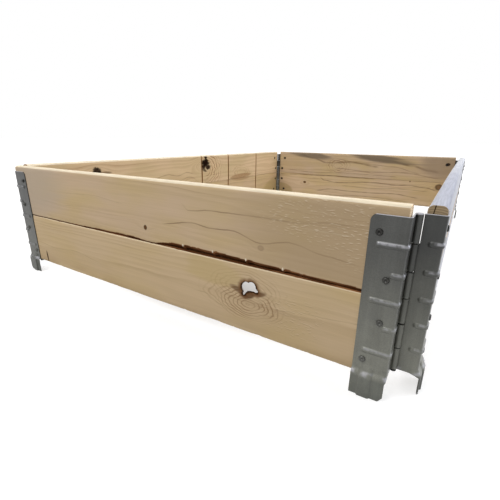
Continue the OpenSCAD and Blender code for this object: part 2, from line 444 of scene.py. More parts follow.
def new_group(
    name: str,
    kind: str,
    inputs: dict[str, Any],
    outputs: Sequence[str],
) -> tuple[Graph, Any, Any]:
    """Starts a node group.

    Args:
        name: The group's name.
        kind: Shader or Geometry.
        inputs: Input names with their default values: a number, a whole number, a point or a socket type.
        outputs: Output names, for shader groups all numbers.

    Returns:
        The graph, the sockets of its inputs and the node of its outputs.
    """
    tree = bpy.data.node_groups.new(name, f"{kind}NodeTree")
    for label, value in inputs.items():
        if isinstance(value, str):
            kind_of, start = value, None
        elif isinstance(value, tuple):
            kind_of, start = "NodeSocketVector", value
        else:
            kind_of, start = ("NodeSocketInt" if isinstance(value, int) else "NodeSocketFloat"), value
        socket = tree.interface.new_socket(name=label, in_out="INPUT", socket_type=kind_of)
        if start is not None:
            socket.default_value = start
    for label in outputs:
        kind_of = "NodeSocketGeometry" if kind == "Geometry" else "NodeSocketFloat"
        tree.interface.new_socket(name=label, in_out="OUTPUT", socket_type=kind_of)
    graph = Graph(tree)
    return graph, graph.node("NodeGroupInput").outputs, graph.node("NodeGroupOutput").inputs


def make_figure_group() -> Tree:
    """Builds the growth rings of softwood round a pith that runs along a board.

    Returns:
        The group, with the masks of late wood, soft bands, fibres, blotches, torn flecks and a painted shadow
        just below each fleck.
    """
    inputs = {
        "Vector": (0.0, 0.0, 0.0),
        "Pith Depth": 0.05,
        "Pith Height": 0.05,
        "Slope": 0.0,
        "Ring Width": 0.003,
        "Wander": 0.008,
        "Swell": 0.0,
        "Seed": 0.0,
    }
    outputs = ("Late", "Band", "Fibre", "Blotch", "Fleck", "Dent")
    g, come, go = new_group("softwood_figure", "Shader", inputs, outputs)
    moved = g.vector("ADD", come["Vector"], g.point(come["Seed"], come["Seed"], come["Seed"]))
    x, y, z = g.parts(come["Vector"])
    slow = g.shake(g.stretched(moved, 1.0, 5.0, 5.0), 3.1, 2.0, 0.45)
    mid = g.shake(g.stretched(moved, 1.0, 4.0, 4.0), 17.0)
    rise = g.minus(z, g.times_plus(come["Slope"], x, come["Pith Height"]))
    depth = g.minus(y, come["Pith Depth"])
    wave = g.times(slow, come["Wander"])
    small = g.times(mid, g.times(come["Wander"], 0.16))
    radius = g.plus(g.plus(g.distance(rise, depth), wave), g.plus(small, come["Swell"]))
    rings = g.over(radius, come["Ring Width"])
    years = g.noise(g.point(g.times(rings, 0.37), come["Seed"], 0.0), 1.0, 1.0)
    rings = g.times_plus(years, 2.6, rings)
    share = g.math("FRACT", rings)
    tone = g.noise(g.point(g.math("FLOOR", rings), come["Seed"], 3.0), 1.7, 0.0)
    shown = g.span(g.noise(g.stretched(moved, 1.0, 2.0, 2.0), 9.0, 1.0), 0.35, 0.65)
    thin = g.times(g.span(share, 0.66, 0.86), g.span(share, 0.90, 0.97, 1.0, 0.0))
    strong = g.times(g.span(tone, 0.38, 0.68), shown)
    g.put(go["Late"], g.times(thin, strong))
    g.put(go["Band"], g.times(g.span(share, 0.1, 0.8), g.span(share, 0.9, 1.0, 1.0, 0.0)))
    g.put(go["Fibre"], g.noise(g.stretched(moved, 9.0, 420.0, 420.0), 1.0, 3.0, 0.65))
    g.put(go["Blotch"], g.noise(g.stretched(moved, 1.0, 2.5, 2.5), 6.0, 2.0, 0.5))
    # The second mask is the fleck mask moved down by 1.1 mm: a painted shadow under each fleck.
    for name, drop in (("Fleck", 0.0), ("Dent", 0.0011)):
        torn = g.stretched(g.vector("ADD", moved, (0.0, 0.0, drop)), 130.0, 500.0, 640.0)
        g.put(go[name], g.span(g.noise(torn, 1.0, 1.0), 0.58, 0.70))
    return g.tree


def make_knot_group() -> Tree:
    """Builds one branch knot that stands across a board.

    Returns:
        The group, with the swell of the rings round it and the masks of its core, rim, years and cracks.
    """
    inputs = {
        "Vector": (0.0, 0.0, 0.0),
        "Along": 0.0,
        "Height": 0.0,
        "Radius": 0.008,
        "Swell": 1.0,
        "Stretch": 1.25,
        "Ragged": 0.45,
    }
    g, come, go = new_group("branch_knot", "Shader", inputs, ("Swell", "Core", "Rim", "Years", "Crack"))
    x, _, z = g.parts(come["Vector"])
    across = g.minus(x, come["Along"])
    up = g.minus(z, come["Height"])
    wobble = g.times(g.shake(come["Vector"], 130.0), come["Ragged"])
    away = g.distance(g.over(across, come["Stretch"]), up)
    away = g.plus(g.over(away, come["Radius"]), wobble)
    g.put(go["Core"], g.span(away, 0.75, 1.05, 1.0, 0.0))
    g.put(go["Rim"], g.times(g.span(away, 0.6, 0.95), g.span(away, 1.0, 1.55, 1.0, 0.0)))
    g.put(go["Years"], g.math("FRACT", g.times(away, 4.0)))
    turn = g.math("ARCTAN2", up, across)
    split = g.shake(g.point(g.times(turn, 2.2), 0.0, 0.0), 1.0)
    split = g.span(g.math("ABSOLUTE", split), 0.0, 0.05, 1.0, 0.0)
    g.put(go["Crack"], g.times(split, g.span(away, 0.9, 1.7, 1.0, 0.0)))
    far = g.squares(g.times(across, 0.42), up)
    reach = g.times(come["Radius"], 2.1)
    hump = g.math("EXPONENT", g.times(g.over(far, g.times(reach, reach)), -1.0))
    lift = g.times(come["Radius"], g.times(come["Swell"], -1.6))
    g.put(go["Swell"], g.times(hump, lift))
    return g.tree


def make_line_group() -> Tree:
    """Builds one thin uneven line that follows a given height.

    Returns:
        The group, with the line's mask.
    """
    inputs = {"Vector": (0.0, 0.0, 0.0), "Start": -0.1, "Stop": 0.1, "Height": 0.03, "Width": 0.0006}
    g, come, go = new_group("grain_line", "Shader", inputs, ("Mask",))
    x, _, z = g.parts(come["Vector"])
    along = g.stretched(come["Vector"], 1.0, 0.0, 0.0)
    line = g.times_plus(g.shake(along, 70.0), 0.0016, come["Height"])
    off = g.over(g.math("ABSOLUTE", g.minus(z, line)), come["Width"])
    start_fade = g.span(x, come["Start"], g.plus(come["Start"], 0.02))
    stop_fade = g.span(x, g.minus(come["Stop"], 0.02), come["Stop"], 1.0, 0.0)
    broken = g.span(g.noise(along, 24.0, 1.0), 0.3, 0.6, 0.45, 1.0)
    mask = g.times(g.times(start_fade, stop_fade), broken)
    g.put(go["Mask"], g.times(mask, g.span(off, 0.3, 1.4, 1.0, 0.0)))
    return g.tree


def make_whorl_group() -> Tree:
    """Builds fine closed rings, where a board's face grazes the growth rings.

    Returns:
        The group, with the rings' mask.
    """
    inputs = {
        "Vector": (0.0, 0.0, 0.0),
        "Along": 0.0,
        "Height": 0.0,
        "Spacing": 0.0035,
        "Stretch": 2.0,
        "Inner": 0.004,
        "Reach": 0.03,
    }
    g, come, go = new_group("grain_whorl", "Shader", inputs, ("Mask",))
    x, _, z = g.parts(come["Vector"])
    flat = g.over(g.minus(x, come["Along"]), come["Stretch"])
    away = g.distance(flat, g.minus(z, come["Height"]))
    wave = g.shake(g.stretched(come["Vector"], 1.0, 0.0, 2.0), 34.0)
    away = g.times_plus(wave, g.times(come["Spacing"], 2.2), away)
    off = g.math("ABSOLUTE", g.minus(g.math("FRACT", g.over(away, come["Spacing"])), 0.5))
    ring = g.span(off, 0.02, 0.24, 1.0, 0.0)
    fade = g.span(away, g.times(come["Reach"], 0.55), come["Reach"], 1.0, 0.0)
    fade = g.times(fade, g.span(away, g.times(come["Inner"], 0.6), come["Inner"]))
    patchy = g.span(g.noise(g.stretched(come["Vector"], 1.0, 0.0, 1.6), 26.0, 1.0), 0.3, 0.6, 0.25, 1.0)
    g.put(go["Mask"], g.times(g.times(ring, fade), patchy))
    return g.tree


@dataclass(frozen=True)
class Knot:
    """A knot of a board: its place along it and up from its lower edge, in millimetres."""

    along: float
    height: float
    radius: float
    swell: float = 1.0
    dark: float = 0.75
    crack: float = 0.0
    stretch: float = 1.25
    ragged: float = 0.45

    def masks(self, paint: BoardPaint) -> Any:
        """Places the knot's group.

        Args:
            paint: The board's paint.

        Returns:
            The group's masks.
        """
        return paint.g.group(
            paint.groups["knot"],
            Vector=paint.place,
            Along=self.along * MM,
            Height=self.height * MM,
            Radius=self.radius * MM,
            Swell=self.swell,
            Stretch=self.stretch,
            Ragged=self.ragged,
        )


@dataclass(frozen=True)
class GrainLine:
    """One thin line along the grain, through points along the board and up it, in millimetres."""

    points: tuple[Spot, ...]
    width: float = 0.7
    share: float = 0.45
    is_pale: bool = False

    def mask(self, paint: BoardPaint) -> Any:
        """Places the line's group, with a smooth step in height from each point to the next.

        Args:
            paint: The board's paint.

        Returns:
            The line's mask.
        """
        g = paint.g
        height: Any = self.points[0][1] * MM
        for (start, low), (stop, high) in zip(self.points, self.points[1:]):
            height = g.plus(height, g.span_mm(paint.x, start, stop, 0.0, (high - low) * MM))
        return g.group(
            paint.groups["line"],
            Vector=paint.place,
            Start=self.points[0][0] * MM,
            Stop=self.points[-1][0] * MM,
            Height=height,
            Width=self.width * MM,
        )["Mask"]


@dataclass(frozen=True)
class Whorl:
    """Fine closed rings on a board's face, in millimetres, whole or on one side of their middle."""

    along: float
    height: float
    reach: float
    spacing: float = 3.5
    stretch: float = 2.0
    inner: float = 3.0
    share: float = 0.35
    half: int = 0

    def mask(self, paint: BoardPaint) -> Any:
        """Places the rings' group.

        Args:
            paint: The board's paint.

        Returns:
            The rings' mask.
        """
        g = paint.g
        mask = g.group(
            paint.groups["whorl"],
            Vector=paint.place,
            Along=self.along * MM,
            Height=self.height * MM,
            Spacing=self.spacing * MM,
            Stretch=self.stretch,
            Inner=self.inner * MM,
            Reach=self.reach * MM,
        )["Mask"]
        if not self.half:
            return mask
        past = g.times(g.minus(paint.x, self.along * MM), self.half)
        return g.times(mask, g.span_mm(past, 0.0, 20.0))


@dataclass(frozen=True)
class Lobe:
    """One round lobe of a lost knot's hole, in millimetres."""

    along: float
    height: float
    radius: float


@dataclass(frozen=True)
class Oval:
    """An oval spot of a board: its middle along it and up it, and its half sizes, in millimetres."""

    along: float
    height: float
    reach: float
    rise: float

    def away(self, paint: BoardPaint, climb: float = 0.0) -> Any:
        """Adds the squared distance from the oval's middle, which is 1 at its edge.

        Args:
            paint: The board's paint.
            climb: How far the oval's long line climbs over its reach.

        Returns:
            The socket of the distance.
        """
        g = paint.g
        off_x = g.over(g.minus(paint.x, self.along * MM), self.reach * MM)
        line = g.times_plus(off_x, climb * MM, self.height * MM)
        return g.squares(off_x, g.over(g.minus(paint.z, line), self.rise * MM))


@dataclass(frozen=True)
class Patch(Oval):
    """A patch of a board where its face is torn into pale flecks, each with a painted shadow just below it.
    """

    share: float = 0.5


@dataclass(frozen=True)
class Stain(Oval):
    """A soft dark or pale patch of a board, which may climb along it."""

    colour: Colour
    share: float
    climb: float = 0.0
    ragged: float = 1.2
    soft: float = 0.75


@dataclass(frozen=True)
class WoodFinish:
    """The finish of one sawn softwood board."""

    pale: Colour = (0.575, 0.432, 0.292)
    warm: Colour = (0.555, 0.418, 0.232)
    late: Colour = (0.30, 0.185, 0.092)
    # Pale colour of newly planed wood, also laid as a painted highlight on the crowns and on the near lower
    # board's arris.
    fresh: Colour = (0.80, 0.70, 0.53)
    contrast: float = 0.45
    band: float = 0.16
    patches: tuple[Patch, ...] = ()
    lobes: tuple[Lobe, ...] = ()
    pith_depth: float = 60.0
    pith_height: float = 40.0
    slope: float = 0.0
    ring_width: float = 3.4
    wander: float = 16.0
    seed: float = 0.0
    knots: tuple[Knot, ...] = ()
    lines: tuple[GrainLine, ...] = ()
    whorls: tuple[Whorl, ...] = ()
    stains: tuple[Stain, ...] = ()
    wane: Colour = (0.13, 0.05, 0.018)
    wane_glow: Colour = (0.42, 0.19, 0.08)
    # Colour of the painted shade on the groove floors.
    groove: Colour = (0.46, 0.235, 0.09)
    # Colour and share of the painted sheen at grazing angles.
    fuzz: Colour = (0.62, 0.63, 0.65)
    fuzz_share: float = 0.0
    end_tone: Colour = (1.0, 1.0, 1.0)
    knot_colour: Colour = (0.16, 0.075, 0.028)
    rust_colour: Colour = (0.03, 0.02, 0.012)
    crown: float = 3.6
    shine: float = 0.03


class BoardPaint:
    """Lays a finish on a board's material, layer by layer, in the board's own frame."""

    def __init__(self, name: str, finish: WoodFinish, side: Side, row: Row, groups: Groups) -> None:
        """Starts the material on Object coordinates, turned into the board's own frame.

        Args:
            name: The material's name.
            finish: The finish to lay.
            side: The board's side.
            row: The board's row.
            groups: The shared shader groups.
        """
        self.finish, self.side, self.row, self.groups = finish, side, row, groups
        self.made, self.g, self.shader = new_material(name)
        self.place = self.g.node(
            "ShaderNodeMapping",
            {
                "Vector": self.g.node("ShaderNodeTexCoord").outputs["Object"],
                "Rotation": (0.0, 0.0, -math.pi / 2 * side.value),
                "Location": (0.0, SIZES.reach(side) * MM, -SIZES.row_bottom(row) * MM),
            },
        ).outputs[0]
        self.x, self.y, self.z = self.g.parts(self.place)
        self.knots = [(knot, knot.masks(self)) for knot in finish.knots]
        swell: Any = 0.0
        for _, masks in self.knots:
            swell = self.g.plus(swell, masks["Swell"])
        self.figure = self.g.group(
            groups["figure"],
            Vector=self.place,
            Pith_Depth=finish.pith_depth * MM,
            Pith_Height=finish.pith_height * MM,
            Slope=finish.slope,
            Ring_Width=finish.ring_width * MM,
            Wander=finish.wander * MM,
            Swell=swell,
            Seed=finish.seed,
        )
        self.colour: Any = finish.pale

    def lay(self, share: Any, tint: Any, blend: str = "MIX") -> None:
        """Lays a share of a colour on the colour so far."""
        self.colour = self.g.mix(share, self.colour, tint, blend)

    def lay_grain(self) -> None:
        """Lays the growth rings and the fine marks of the grain."""
        g, finish, figure = self.g, self.finish, self.figure
        self.lay(g.span(figure["Blotch"], 0.38, 0.66), finish.warm)
        self.lay(g.times(figure["Band"], finish.band), finish.late)
        self.lay(g.times(figure["Late"], finish.contrast), finish.late)
        for line in finish.lines:
            tint = finish.fresh if line.is_pale else toned(finish.late, 0.55)
            self.lay(g.times(line.mask(self), line.share), tint)
        for whorl in finish.whorls:
            self.lay(g.times(whorl.mask(self), whorl.share), finish.late)
        streak = g.times_plus(figure["Fibre"], 0.22, 0.89)
        self.lay(1.0, g.point(streak, streak, streak), "MULTIPLY")

    def rust(self) -> tuple[Stain, ...]:
        """Lists the dark stains round the board's rivet tails.

        Returns:
            The stains.
        """
        low, colour = SIZES.row_bottom(self.row), self.finish.rust_colour
        spots = [(x, z - low) for x, z in SIZES.rivet_places(self.side) if 0 < z - low < SIZES.board_height]
        return tuple(Stain(*spot, 6.5, 6.0, colour, 0.9, ragged=0.1, soft=0.5) for spot in spots)

    def lay_marks(self) -> None:
        """Lays stains, torn flecks and knots on the grain."""
        g, finish, figure = self.g, self.finish, self.figure
        wisp = g.noise(g.stretched(self.place, 7.0, 90.0, 110.0), 1.0, 2.0, 0.6)
        frayed = g.minus(g.times_plus(wisp, 1.1, figure["Blotch"]), 1.05)
        for stain in finish.stains + self.rust():
            away = g.times_plus(frayed, stain.ragged, stain.away(self, stain.climb))
            self.lay(g.span(away, 1.0 - stain.soft, 1.0, stain.share, 0.0), stain.colour)
        for patch in finish.patches:
            near = g.span(patch.away(self), 0.2, 1.0, patch.share, 0.0)
            # Painted shadow in the late colour just below each fleck, then the pale flecks on top.
            self.lay(g.times(near, figure["Dent"]), finish.late)
            self.lay(g.times(near, figure["Fleck"]), finish.fresh)
        heart = finish.knot_colour
        for knot, masks in self.knots:
            inner = g.mix(g.span(masks["Years"], 0.3, 0.9), toned(heart, 1.5), heart)
            self.lay(g.times(masks["Core"], knot.dark), inner)
            self.lay(g.times(masks["Rim"], 0.85 * knot.dark), toned(heart, 0.45))
            if knot.crack:
                self.lay(g.times(masks["Crack"], knot.crack), toned(heart, 0.08))

    def lay_hole_ring(self) -> None:
        """Lays the dark bark ring round a lost knot's hole."""
        g, heart = self.g, self.finish.knot_colour
        flat = g.point(self.x, 0.0, self.z)
        nearest: Any = 1.0
        for lobe in self.finish.lobes:
            off = g.vector("SUBTRACT", flat, (lobe.along * MM, 0.0, lobe.height * MM))
            nearest = g.math("MINIMUM", nearest, g.minus(g.vector("LENGTH", off, out=1), lobe.radius * MM))
        nearest = g.times_plus(g.shake(self.place, 240.0), 3.0 * MM, nearest)
        self.lay(g.span_mm(nearest, 1.0, 7.5, 0.9, 0.0), toned(heart, 1.7))
        self.lay(g.span_mm(nearest, 0.4, 2.1, 0.9, 0.0), toned(heart, 0.3))

    def lay_edges(self) -> Any:
        """Lays the painted shade in the grooves, the pale crowns and arrises with a painted highlight, the
        bark side of the wane and a painted shade on the near lower board's top.

        Returns:
            The relief of the bark side and of the painted shade on the near lower board's top.
        """
        g, finish, high = self.g, self.finish, SIZES.board_height
        # Painted shade: the groove floors are darkened to a warm brown.
        self.lay(g.times(g.attribute("groove"), 0.9), finish.groove)
        bark = g.attribute("wane")
        if self.row is Row.UPPER:
            # The crown band: pale wood with a painted highlight on the top edge.
            start = high - finish.crown
            streak = g.noise(g.stretched(self.place, 30.0, 700.0, 100.0), 1.0, 3.0)
            crown_wear_and_highlight = g.mix(g.span(streak, 0.3, 0.7), finish.fresh, toned(finish.fresh, 0.82))
            self.lay(g.span_mm(self.z, start, start + 0.6), crown_wear_and_highlight)
        elif self.side is Side.FRONT:
            # Painted highlight: a thin pale line along the outer top arris of the near lower board.
            outer = g.span_mm(self.y, 0.9, 1.3, 1.0, 0.0)
            self.lay(g.times(outer, g.span_mm(self.z, high - 1.6, high - 1.2)), finish.fresh)
            # Painted shade: its top face behind that line takes the dark wane colour, as if in the gap's
            # shadow.
            top = g.span_mm(self.z, high - 2.0, high - 1.4)
            bark = g.math("MAXIMUM", bark, g.times(g.span_mm(self.y, 1.0, 1.4), top))
        tone = g.noise(g.stretched(self.place, 30.0, 300.0, 300.0), 1.0, 3.0)
        patch = g.times(g.span(tone, 0.35, 0.7), g.span(g.noise(self.place, 14.0, 1.0), 0.42, 0.58))
        self.lay(bark, g.mix(patch, finish.wane, finish.wane_glow))
        return g.times(bark, tone)

    def lay_end_grain(self) -> None:
        g, finish = self.g, self.finish
        half = SIZES.board_length(self.side) / 2
        at_end = g.span_mm(g.math("ABSOLUTE", self.x), half - 0.9, half - 0.3)
        deep = g.minus(self.y, 0.5 * SIZES.board_thickness * MM)
        low = g.minus(self.z, finish.pith_height * MM)
        years = g.math("PINGPONG", g.over(g.distance(deep, low), 2.4 * MM), 0.5)
        tone = tuple(c * share for c, share in zip(finish.late, finish.end_tone))
        cut = g.mix(g.span(years, 0.1, 0.45), tone, toned(tone, 1.5))
        lean = g.minus(g.times_plus(low, 0.12, deep), 6.5 * MM)
        check = g.span_mm(g.math("ABSOLUTE", lean), 0.3, 0.8, 1.0, 0.0)
        self.lay(at_end, g.mix(check, cut, toned(finish.late, 0.12)))

    def material(self) -> bpy.types.Material:
        """Lays every layer and wires the shader.

        Returns:
            The material.
        """
        g, finish, figure, inputs = self.g, self.finish, self.figure, self.shader.inputs
        self.lay_grain()
        self.lay_marks()
        if finish.lobes:
            self.lay_hole_ring()
        # The relief of the bark side, which also covers the painted shade on the near lower board's top.
        bark = self.lay_edges()
        self.lay_end_grain()
        # Painted sheen: a pale bluish grey laid where a face is seen at a grazing angle.
        facing = g.node("ShaderNodeLayerWeight", {"Blend": 0.5}).outputs["Facing"]
        self.lay(g.span(facing, 0.90, 0.985, 0.0, finish.fuzz_share), finish.fuzz)
        g.put(inputs["Base Color"], self.colour)
        g.put(inputs["Roughness"], g.times_plus(figure["Fibre"], 0.25, 0.48))
        g.put(inputs["Specular IOR Level"], finish.shine)
        relief = g.times_plus(figure["Late"], 0.4, g.times(figure["Fibre"], 0.6))
        saw = g.noise(g.stretched(self.place, 160.0, 30.0, 30.0), 1.0, 2.0)
        relief = g.times_plus(bark, 3.0, g.times_plus(saw, 0.3, relief))
        bump = g.node("ShaderNodeBump", {"Strength": 0.3, "Distance": 0.6 * MM, "Height": relief})
        g.put(inputs["Normal"], bump.outputs[0])
        return self.made


def make_tarnish_group() -> Tree:
    """Builds the dull zinc skin of the steel pieces.

    Returns:
        The group, with masks for dull clouds, streaks, fine grain and scratches.
    """
    outputs = ("Cloud", "Streak", "Grain", "Scratch")
    g, come, go = new_group("zinc_tarnish", "Shader", {"Vector": (0.0, 0.0, 0.0)}, outputs)
    g.put(go["Cloud"], g.noise(come["Vector"], 38.0, 3.0, 0.55))
    g.put(go["Streak"], g.noise(g.stretched(come["Vector"], 120.0, 120.0, 9.0), 1.0, 3.0, 0.6))
    g.put(go["Grain"], g.noise(come["Vector"], 900.0, 2.0, 0.6))
    g.put(go["Scratch"], g.noise(g.stretched(come["Vector"], 900.0, 900.0, 40.0), 1.0, 2.0))
    return g.tree


@dataclass(frozen=True)
class SteelFinish:
    """A zinc skin, dull and grey with age, with heights above the floor in millimetres."""

    foot: Colour = (0.120, 0.125, 0.106)
    low: Colour = (0.176, 0.178, 0.150)
    high: Colour = (0.046, 0.047, 0.044)
    metallic: float = 0.25
    shine: float = 0.5
    rough: float = 0.32
    # Zinc colour laid as a painted highlight on the top cut edge, across the joggle and on the rib crests,
    # with its height and share.
    bare: Colour = (0.50, 0.50, 0.54)
    bare_height: float = 210.2
    wear: float = 0.8
    # Share of the painted highlight on the upper side of the ribs.
    rubbed: float = 0.6
    # Colour of the painted shade on the rivet tails inside the collar.
    inner: Colour | None = None
    foot_height: float = 30.0
    head_height: float = 200.0
    foot_fade: Spot = (22.0, 30.0)
    # Heights between which a painted highlight runs across the joggle.
    rub_start: Spot = (25.5, 28.5)
    rub_stop: Spot = (30.5, 33.5)
    inner_fade: Spot = (-12.0, -6.0)

    def material(self, name: str, groups: Groups) -> bpy.types.Material:
        """Builds the finish on Object coordinates.

        Args:
            name: The material's name.
            groups: The shared shader groups.

        Returns:
            The material.
        """
        made, g, shader = new_material(name)
        place = g.node("ShaderNodeTexCoord").outputs["Object"]
        skin = g.group(groups["tarnish"], Vector=place)
        z = g.parts(place)[2]
        rough_z = g.times_plus(g.minus(skin["Cloud"], 0.5), 0.12, z)
        colour = g.mix(g.span_mm(rough_z, self.foot_height, self.head_height), self.low, self.high)
        colour = g.mix(g.span_mm(z, *self.foot_fade, 1.0, 0.0), colour, self.foot)
        cloud = g.span(skin["Cloud"], 0.3, 0.7, 0.84, 1.14)
        streak = g.span(skin["Streak"], 0.25, 0.75, 0.88, 1.12)
        tone = g.times(cloud, streak)
        tone = g.times(tone, g.span(skin["Grain"], 0.3, 0.7, 0.9, 1.1))
        colour = g.mix(1.0, colour, g.point(tone, tone, tone), "MULTIPLY")
        # Painted highlight across the joggle, broken up by noise.
        rubbed = g.times(g.span_mm(z, *self.rub_start), g.span_mm(z, *self.rub_stop, 1.0, 0.0))
        rubbed = g.times(rubbed, g.span(g.noise(place, 95.0, 2.0), 0.42, 0.72))
        # Painted highlight along the top cut edge of the sheet, joined with the joggle's painted highlight.
        bare = g.math("MAXIMUM", g.span_mm(z, self.bare_height, self.bare_height + 0.4), rubbed)
        colour = g.mix(g.times(bare, self.wear), colour, self.bare)
        # Painted highlight on the upper side of the ribs, read from the leaf's per-point mark.
        crest = g.times(g.attribute("crest"), g.span(g.noise(place, 170.0, 2.0), 0.36, 0.62, 0.2, 1.0))
        colour = g.mix(g.times(crest, self.rubbed), colour, self.bare)
        # Painted shade: what lies inside the collar's outline, the rivet tails, takes the inner colour.
        if self.inner:
            reach = (SIZES.width / 2, SIZES.length / 2)
            sides = [g.minus(g.math("ABSOLUTE", v), r * MM) for v, r in zip(g.parts(place), reach)]
            deep = g.span_mm(g.math("MAXIMUM", *sides), *self.inner_fade, 1.0, 0.0)
            colour = g.mix(deep, colour, self.inner)
        g.put(shader.inputs["Base Color"], colour)
        shader.inputs["Metallic"].default_value = self.metallic
        shader.inputs["Specular IOR Level"].default_value = self.shine
        rough = g.times_plus(skin["Cloud"], 0.22, self.rough - 0.11)
        g.put(shader.inputs["Roughness"], g.times_plus(skin["Scratch"], 0.12, rough))
        relief = g.times_plus(skin["Grain"], 0.35, skin["Scratch"])
        bump = g.node("ShaderNodeBump", {"Strength": 0.18, "Distance": 0.2 * MM, "Height": relief})
        g.put(shader.inputs["Normal"], bump.outputs[0])
        return made


def link_mesh(name: str, mesh: Mesh) -> bpy.types.Object:
    """Puts a mesh into the scene as an object at the origin.

    Args:
        name: The object's name.
        mesh: Its mesh.

    Returns:
        The object.
    """
    made = bpy.data.objects.new(name, mesh)
    bpy.context.scene.collection.objects.link(made)
    return made


def bake_modifiers(holder: bpy.types.Object, name: str) -> Mesh:
    """Turns an object with modifiers into a plain mesh and removes the object.

    Args:
        holder: The object.
        name: The new mesh's name.

    Returns:
        The plain mesh.
    """
    bpy.context.view_layer.update()
    ready = holder.evaluated_get(bpy.context.evaluated_depsgraph_get())
    mesh = bpy.data.meshes.new_from_object(ready)
    mesh.name = name
    holder.modifiers.clear()
    bpy.data.objects.remove(holder)
    return mesh


def tidy_mesh(mesh: Mesh, angle: float, merge: float = 2e-6) -> None:
    """Merges doubles, points the faces outwards and shades them smooth up to an angle.

    Args:
        mesh: The closed mesh to tidy.
        angle: The angle in degrees above which an edge stays sharp.
        merge: The merging distance in metres.
    """
    work = bmesh.new()
    work.from_mesh(mesh)
    bmesh.ops.remove_doubles(work, verts=work.verts, dist=merge)
    bmesh.ops.dissolve_degenerate(work, edges=work.edges, dist=merge)
    bmesh.ops.recalc_face_normals(work, faces=work.faces)
    work.to_mesh(mesh)
    work.free()
    mesh.polygons.foreach_set("use_smooth", np.ones(len(mesh.polygons), dtype=bool))
    mesh.set_sharp_from_angle(angle=math.radians(angle))


def read_points(mesh: Mesh) -> np.ndarray:
    """Reads a mesh's points.

    Args:
        mesh: The mesh.

    Returns:
        Rows of three numbers.
    """
    points = np.empty(len(mesh.vertices) * 3)
    mesh.vertices.foreach_get("co", points)
    return points.reshape(-1, 3)


def add_mark(mesh: Mesh, name: str, values: np.ndarray) -> None:
    """Keeps one number for each point of a mesh, which its material reads."""
    mesh.attributes.new(name, "FLOAT", "POINT").data.foreach_set("value", values)


def grow(mesh: Mesh, tree: Tree, values: dict[str, Any], name: str) -> Mesh:
    """Runs a Geometry Nodes tree on a mesh, with its inputs set by their sockets' identifiers.

    Args:
        mesh: The mesh to start from.
        tree: The tree.
        values: Values by the inputs' names.
        name: The new mesh's name.

    Returns:
        The plain mesh.
    """
    holder = link_mesh(tree.name, mesh)
    modifier = holder.modifiers.new(tree.name, "NODES")
    modifier.node_group = tree
    for item in tree.interface.items_tree:
        if item.item_type == "SOCKET" and item.in_out == "INPUT" and item.name in values:
            modifier[item.identifier] = values[item.name]
    return bake_modifiers(holder, name)


def place_piece(name: str, mesh: Mesh, side: Side, slot: Slot, *nodes: str) -> bpy.types.Object:
    """Puts a finished piece in the place of its CAD nodes and reports it.

    Args:
        name: The piece's name.
        mesh: Its mesh.
        side: The side whose body it rides on.
        slot: Its material slot; not used.
        *nodes: The CAD nodes that it stands for.

    Returns:
        The piece.
    """
    piece = link_mesh(name, mesh)
    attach(piece, side.body)
    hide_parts(*nodes)
    log.info("%s: %d faces", piece.name, len(mesh.polygons))
    return piece


def end_tree(g: Graph, come: Any, go: Any, shape: Socket) -> Tree:
    """Ends a Geometry Nodes tree with real geometry in its material.

    Args:
        g: The tree's graph.
        come: The sockets of its inputs.
        go: The sockets of its outputs.
        shape: The geometry so far.

    Returns:
        The tree.
    """
    whole = g.node("GeometryNodeRealizeInstances", {"Geometry": shape})
    skin = {"Geometry": whole.outputs[0], "Material": come["Material"]}
    g.put(go["Geometry"], g.node("GeometryNodeSetMaterial", skin).outputs[0])
    return g.tree


def make_plank_tree() -> Tree:
    """Builds the tree that saws a board: a section swept along its length and slightly uneven.

    Returns:
        The tree.
    """
    inputs = {
        "Geometry": "NodeSocketGeometry",
        "Section": "NodeSocketObject",
        "Length": 0.74,
        "Stations": 240,
        "Bow": 0.0005,
        "Unevenness": 0.0005,
        "Still Ends": 0.06,
        "Seed": 0.0,
        "Material": "NodeSocketMaterial",
    }
    g, come, go = new_group("sawn_plank", "Geometry", inputs, ("Geometry",))
    half = g.times(come["Length"], 0.5)
    line = g.node(
        "GeometryNodeCurvePrimitiveLine",
        {"Start": g.point(g.times(half, -1.0), 0.0, 0.0), "End": g.point(half, 0.0, 0.0)},
    )
    line = g.node("GeometryNodeResampleCurve", {"Curve": line.outputs[0], "Count": come["Stations"]})
    section = g.node("GeometryNodeObjectInfo", {"Object": come["Section"]}).outputs["Geometry"]
    sweep = {"Curve": line.outputs[0], "Profile Curve": section, "Fill Caps": True}
    swept = g.node("GeometryNodeCurveToMesh", sweep)
    place = g.node("GeometryNodeInputPosition").outputs[0]
    x = g.parts(place)[0]
    still = g.minus(half, g.math("ABSOLUTE", x))
    free = g.span(g.over(still, come["Still Ends"]), 0.9, 2.2)
    moved = g.vector("ADD", place, g.point(come["Seed"], come["Seed"], come["Seed"]))
    wave = g.shake(g.stretched(moved, 5.0, 30.0, 30.0), 1.0)
    lift = g.shake(g.stretched(moved, 8.0, 20.0, 3.0), 1.3)
    even = g.times(free, come["Unevenness"])
    share = g.over(x, half)
    curve = g.times(g.minus(1.0, g.times(share, share)), come["Bow"])
    out = g.times_plus(wave, even, g.times(free, curve))
    offset = g.point(0.0, out, g.times(lift, even))
    placed = g.node("GeometryNodeSetPosition", {"Geometry": swept.outputs[0], "Offset": offset})
    return end_tree(g, come, go, placed.outputs[0])


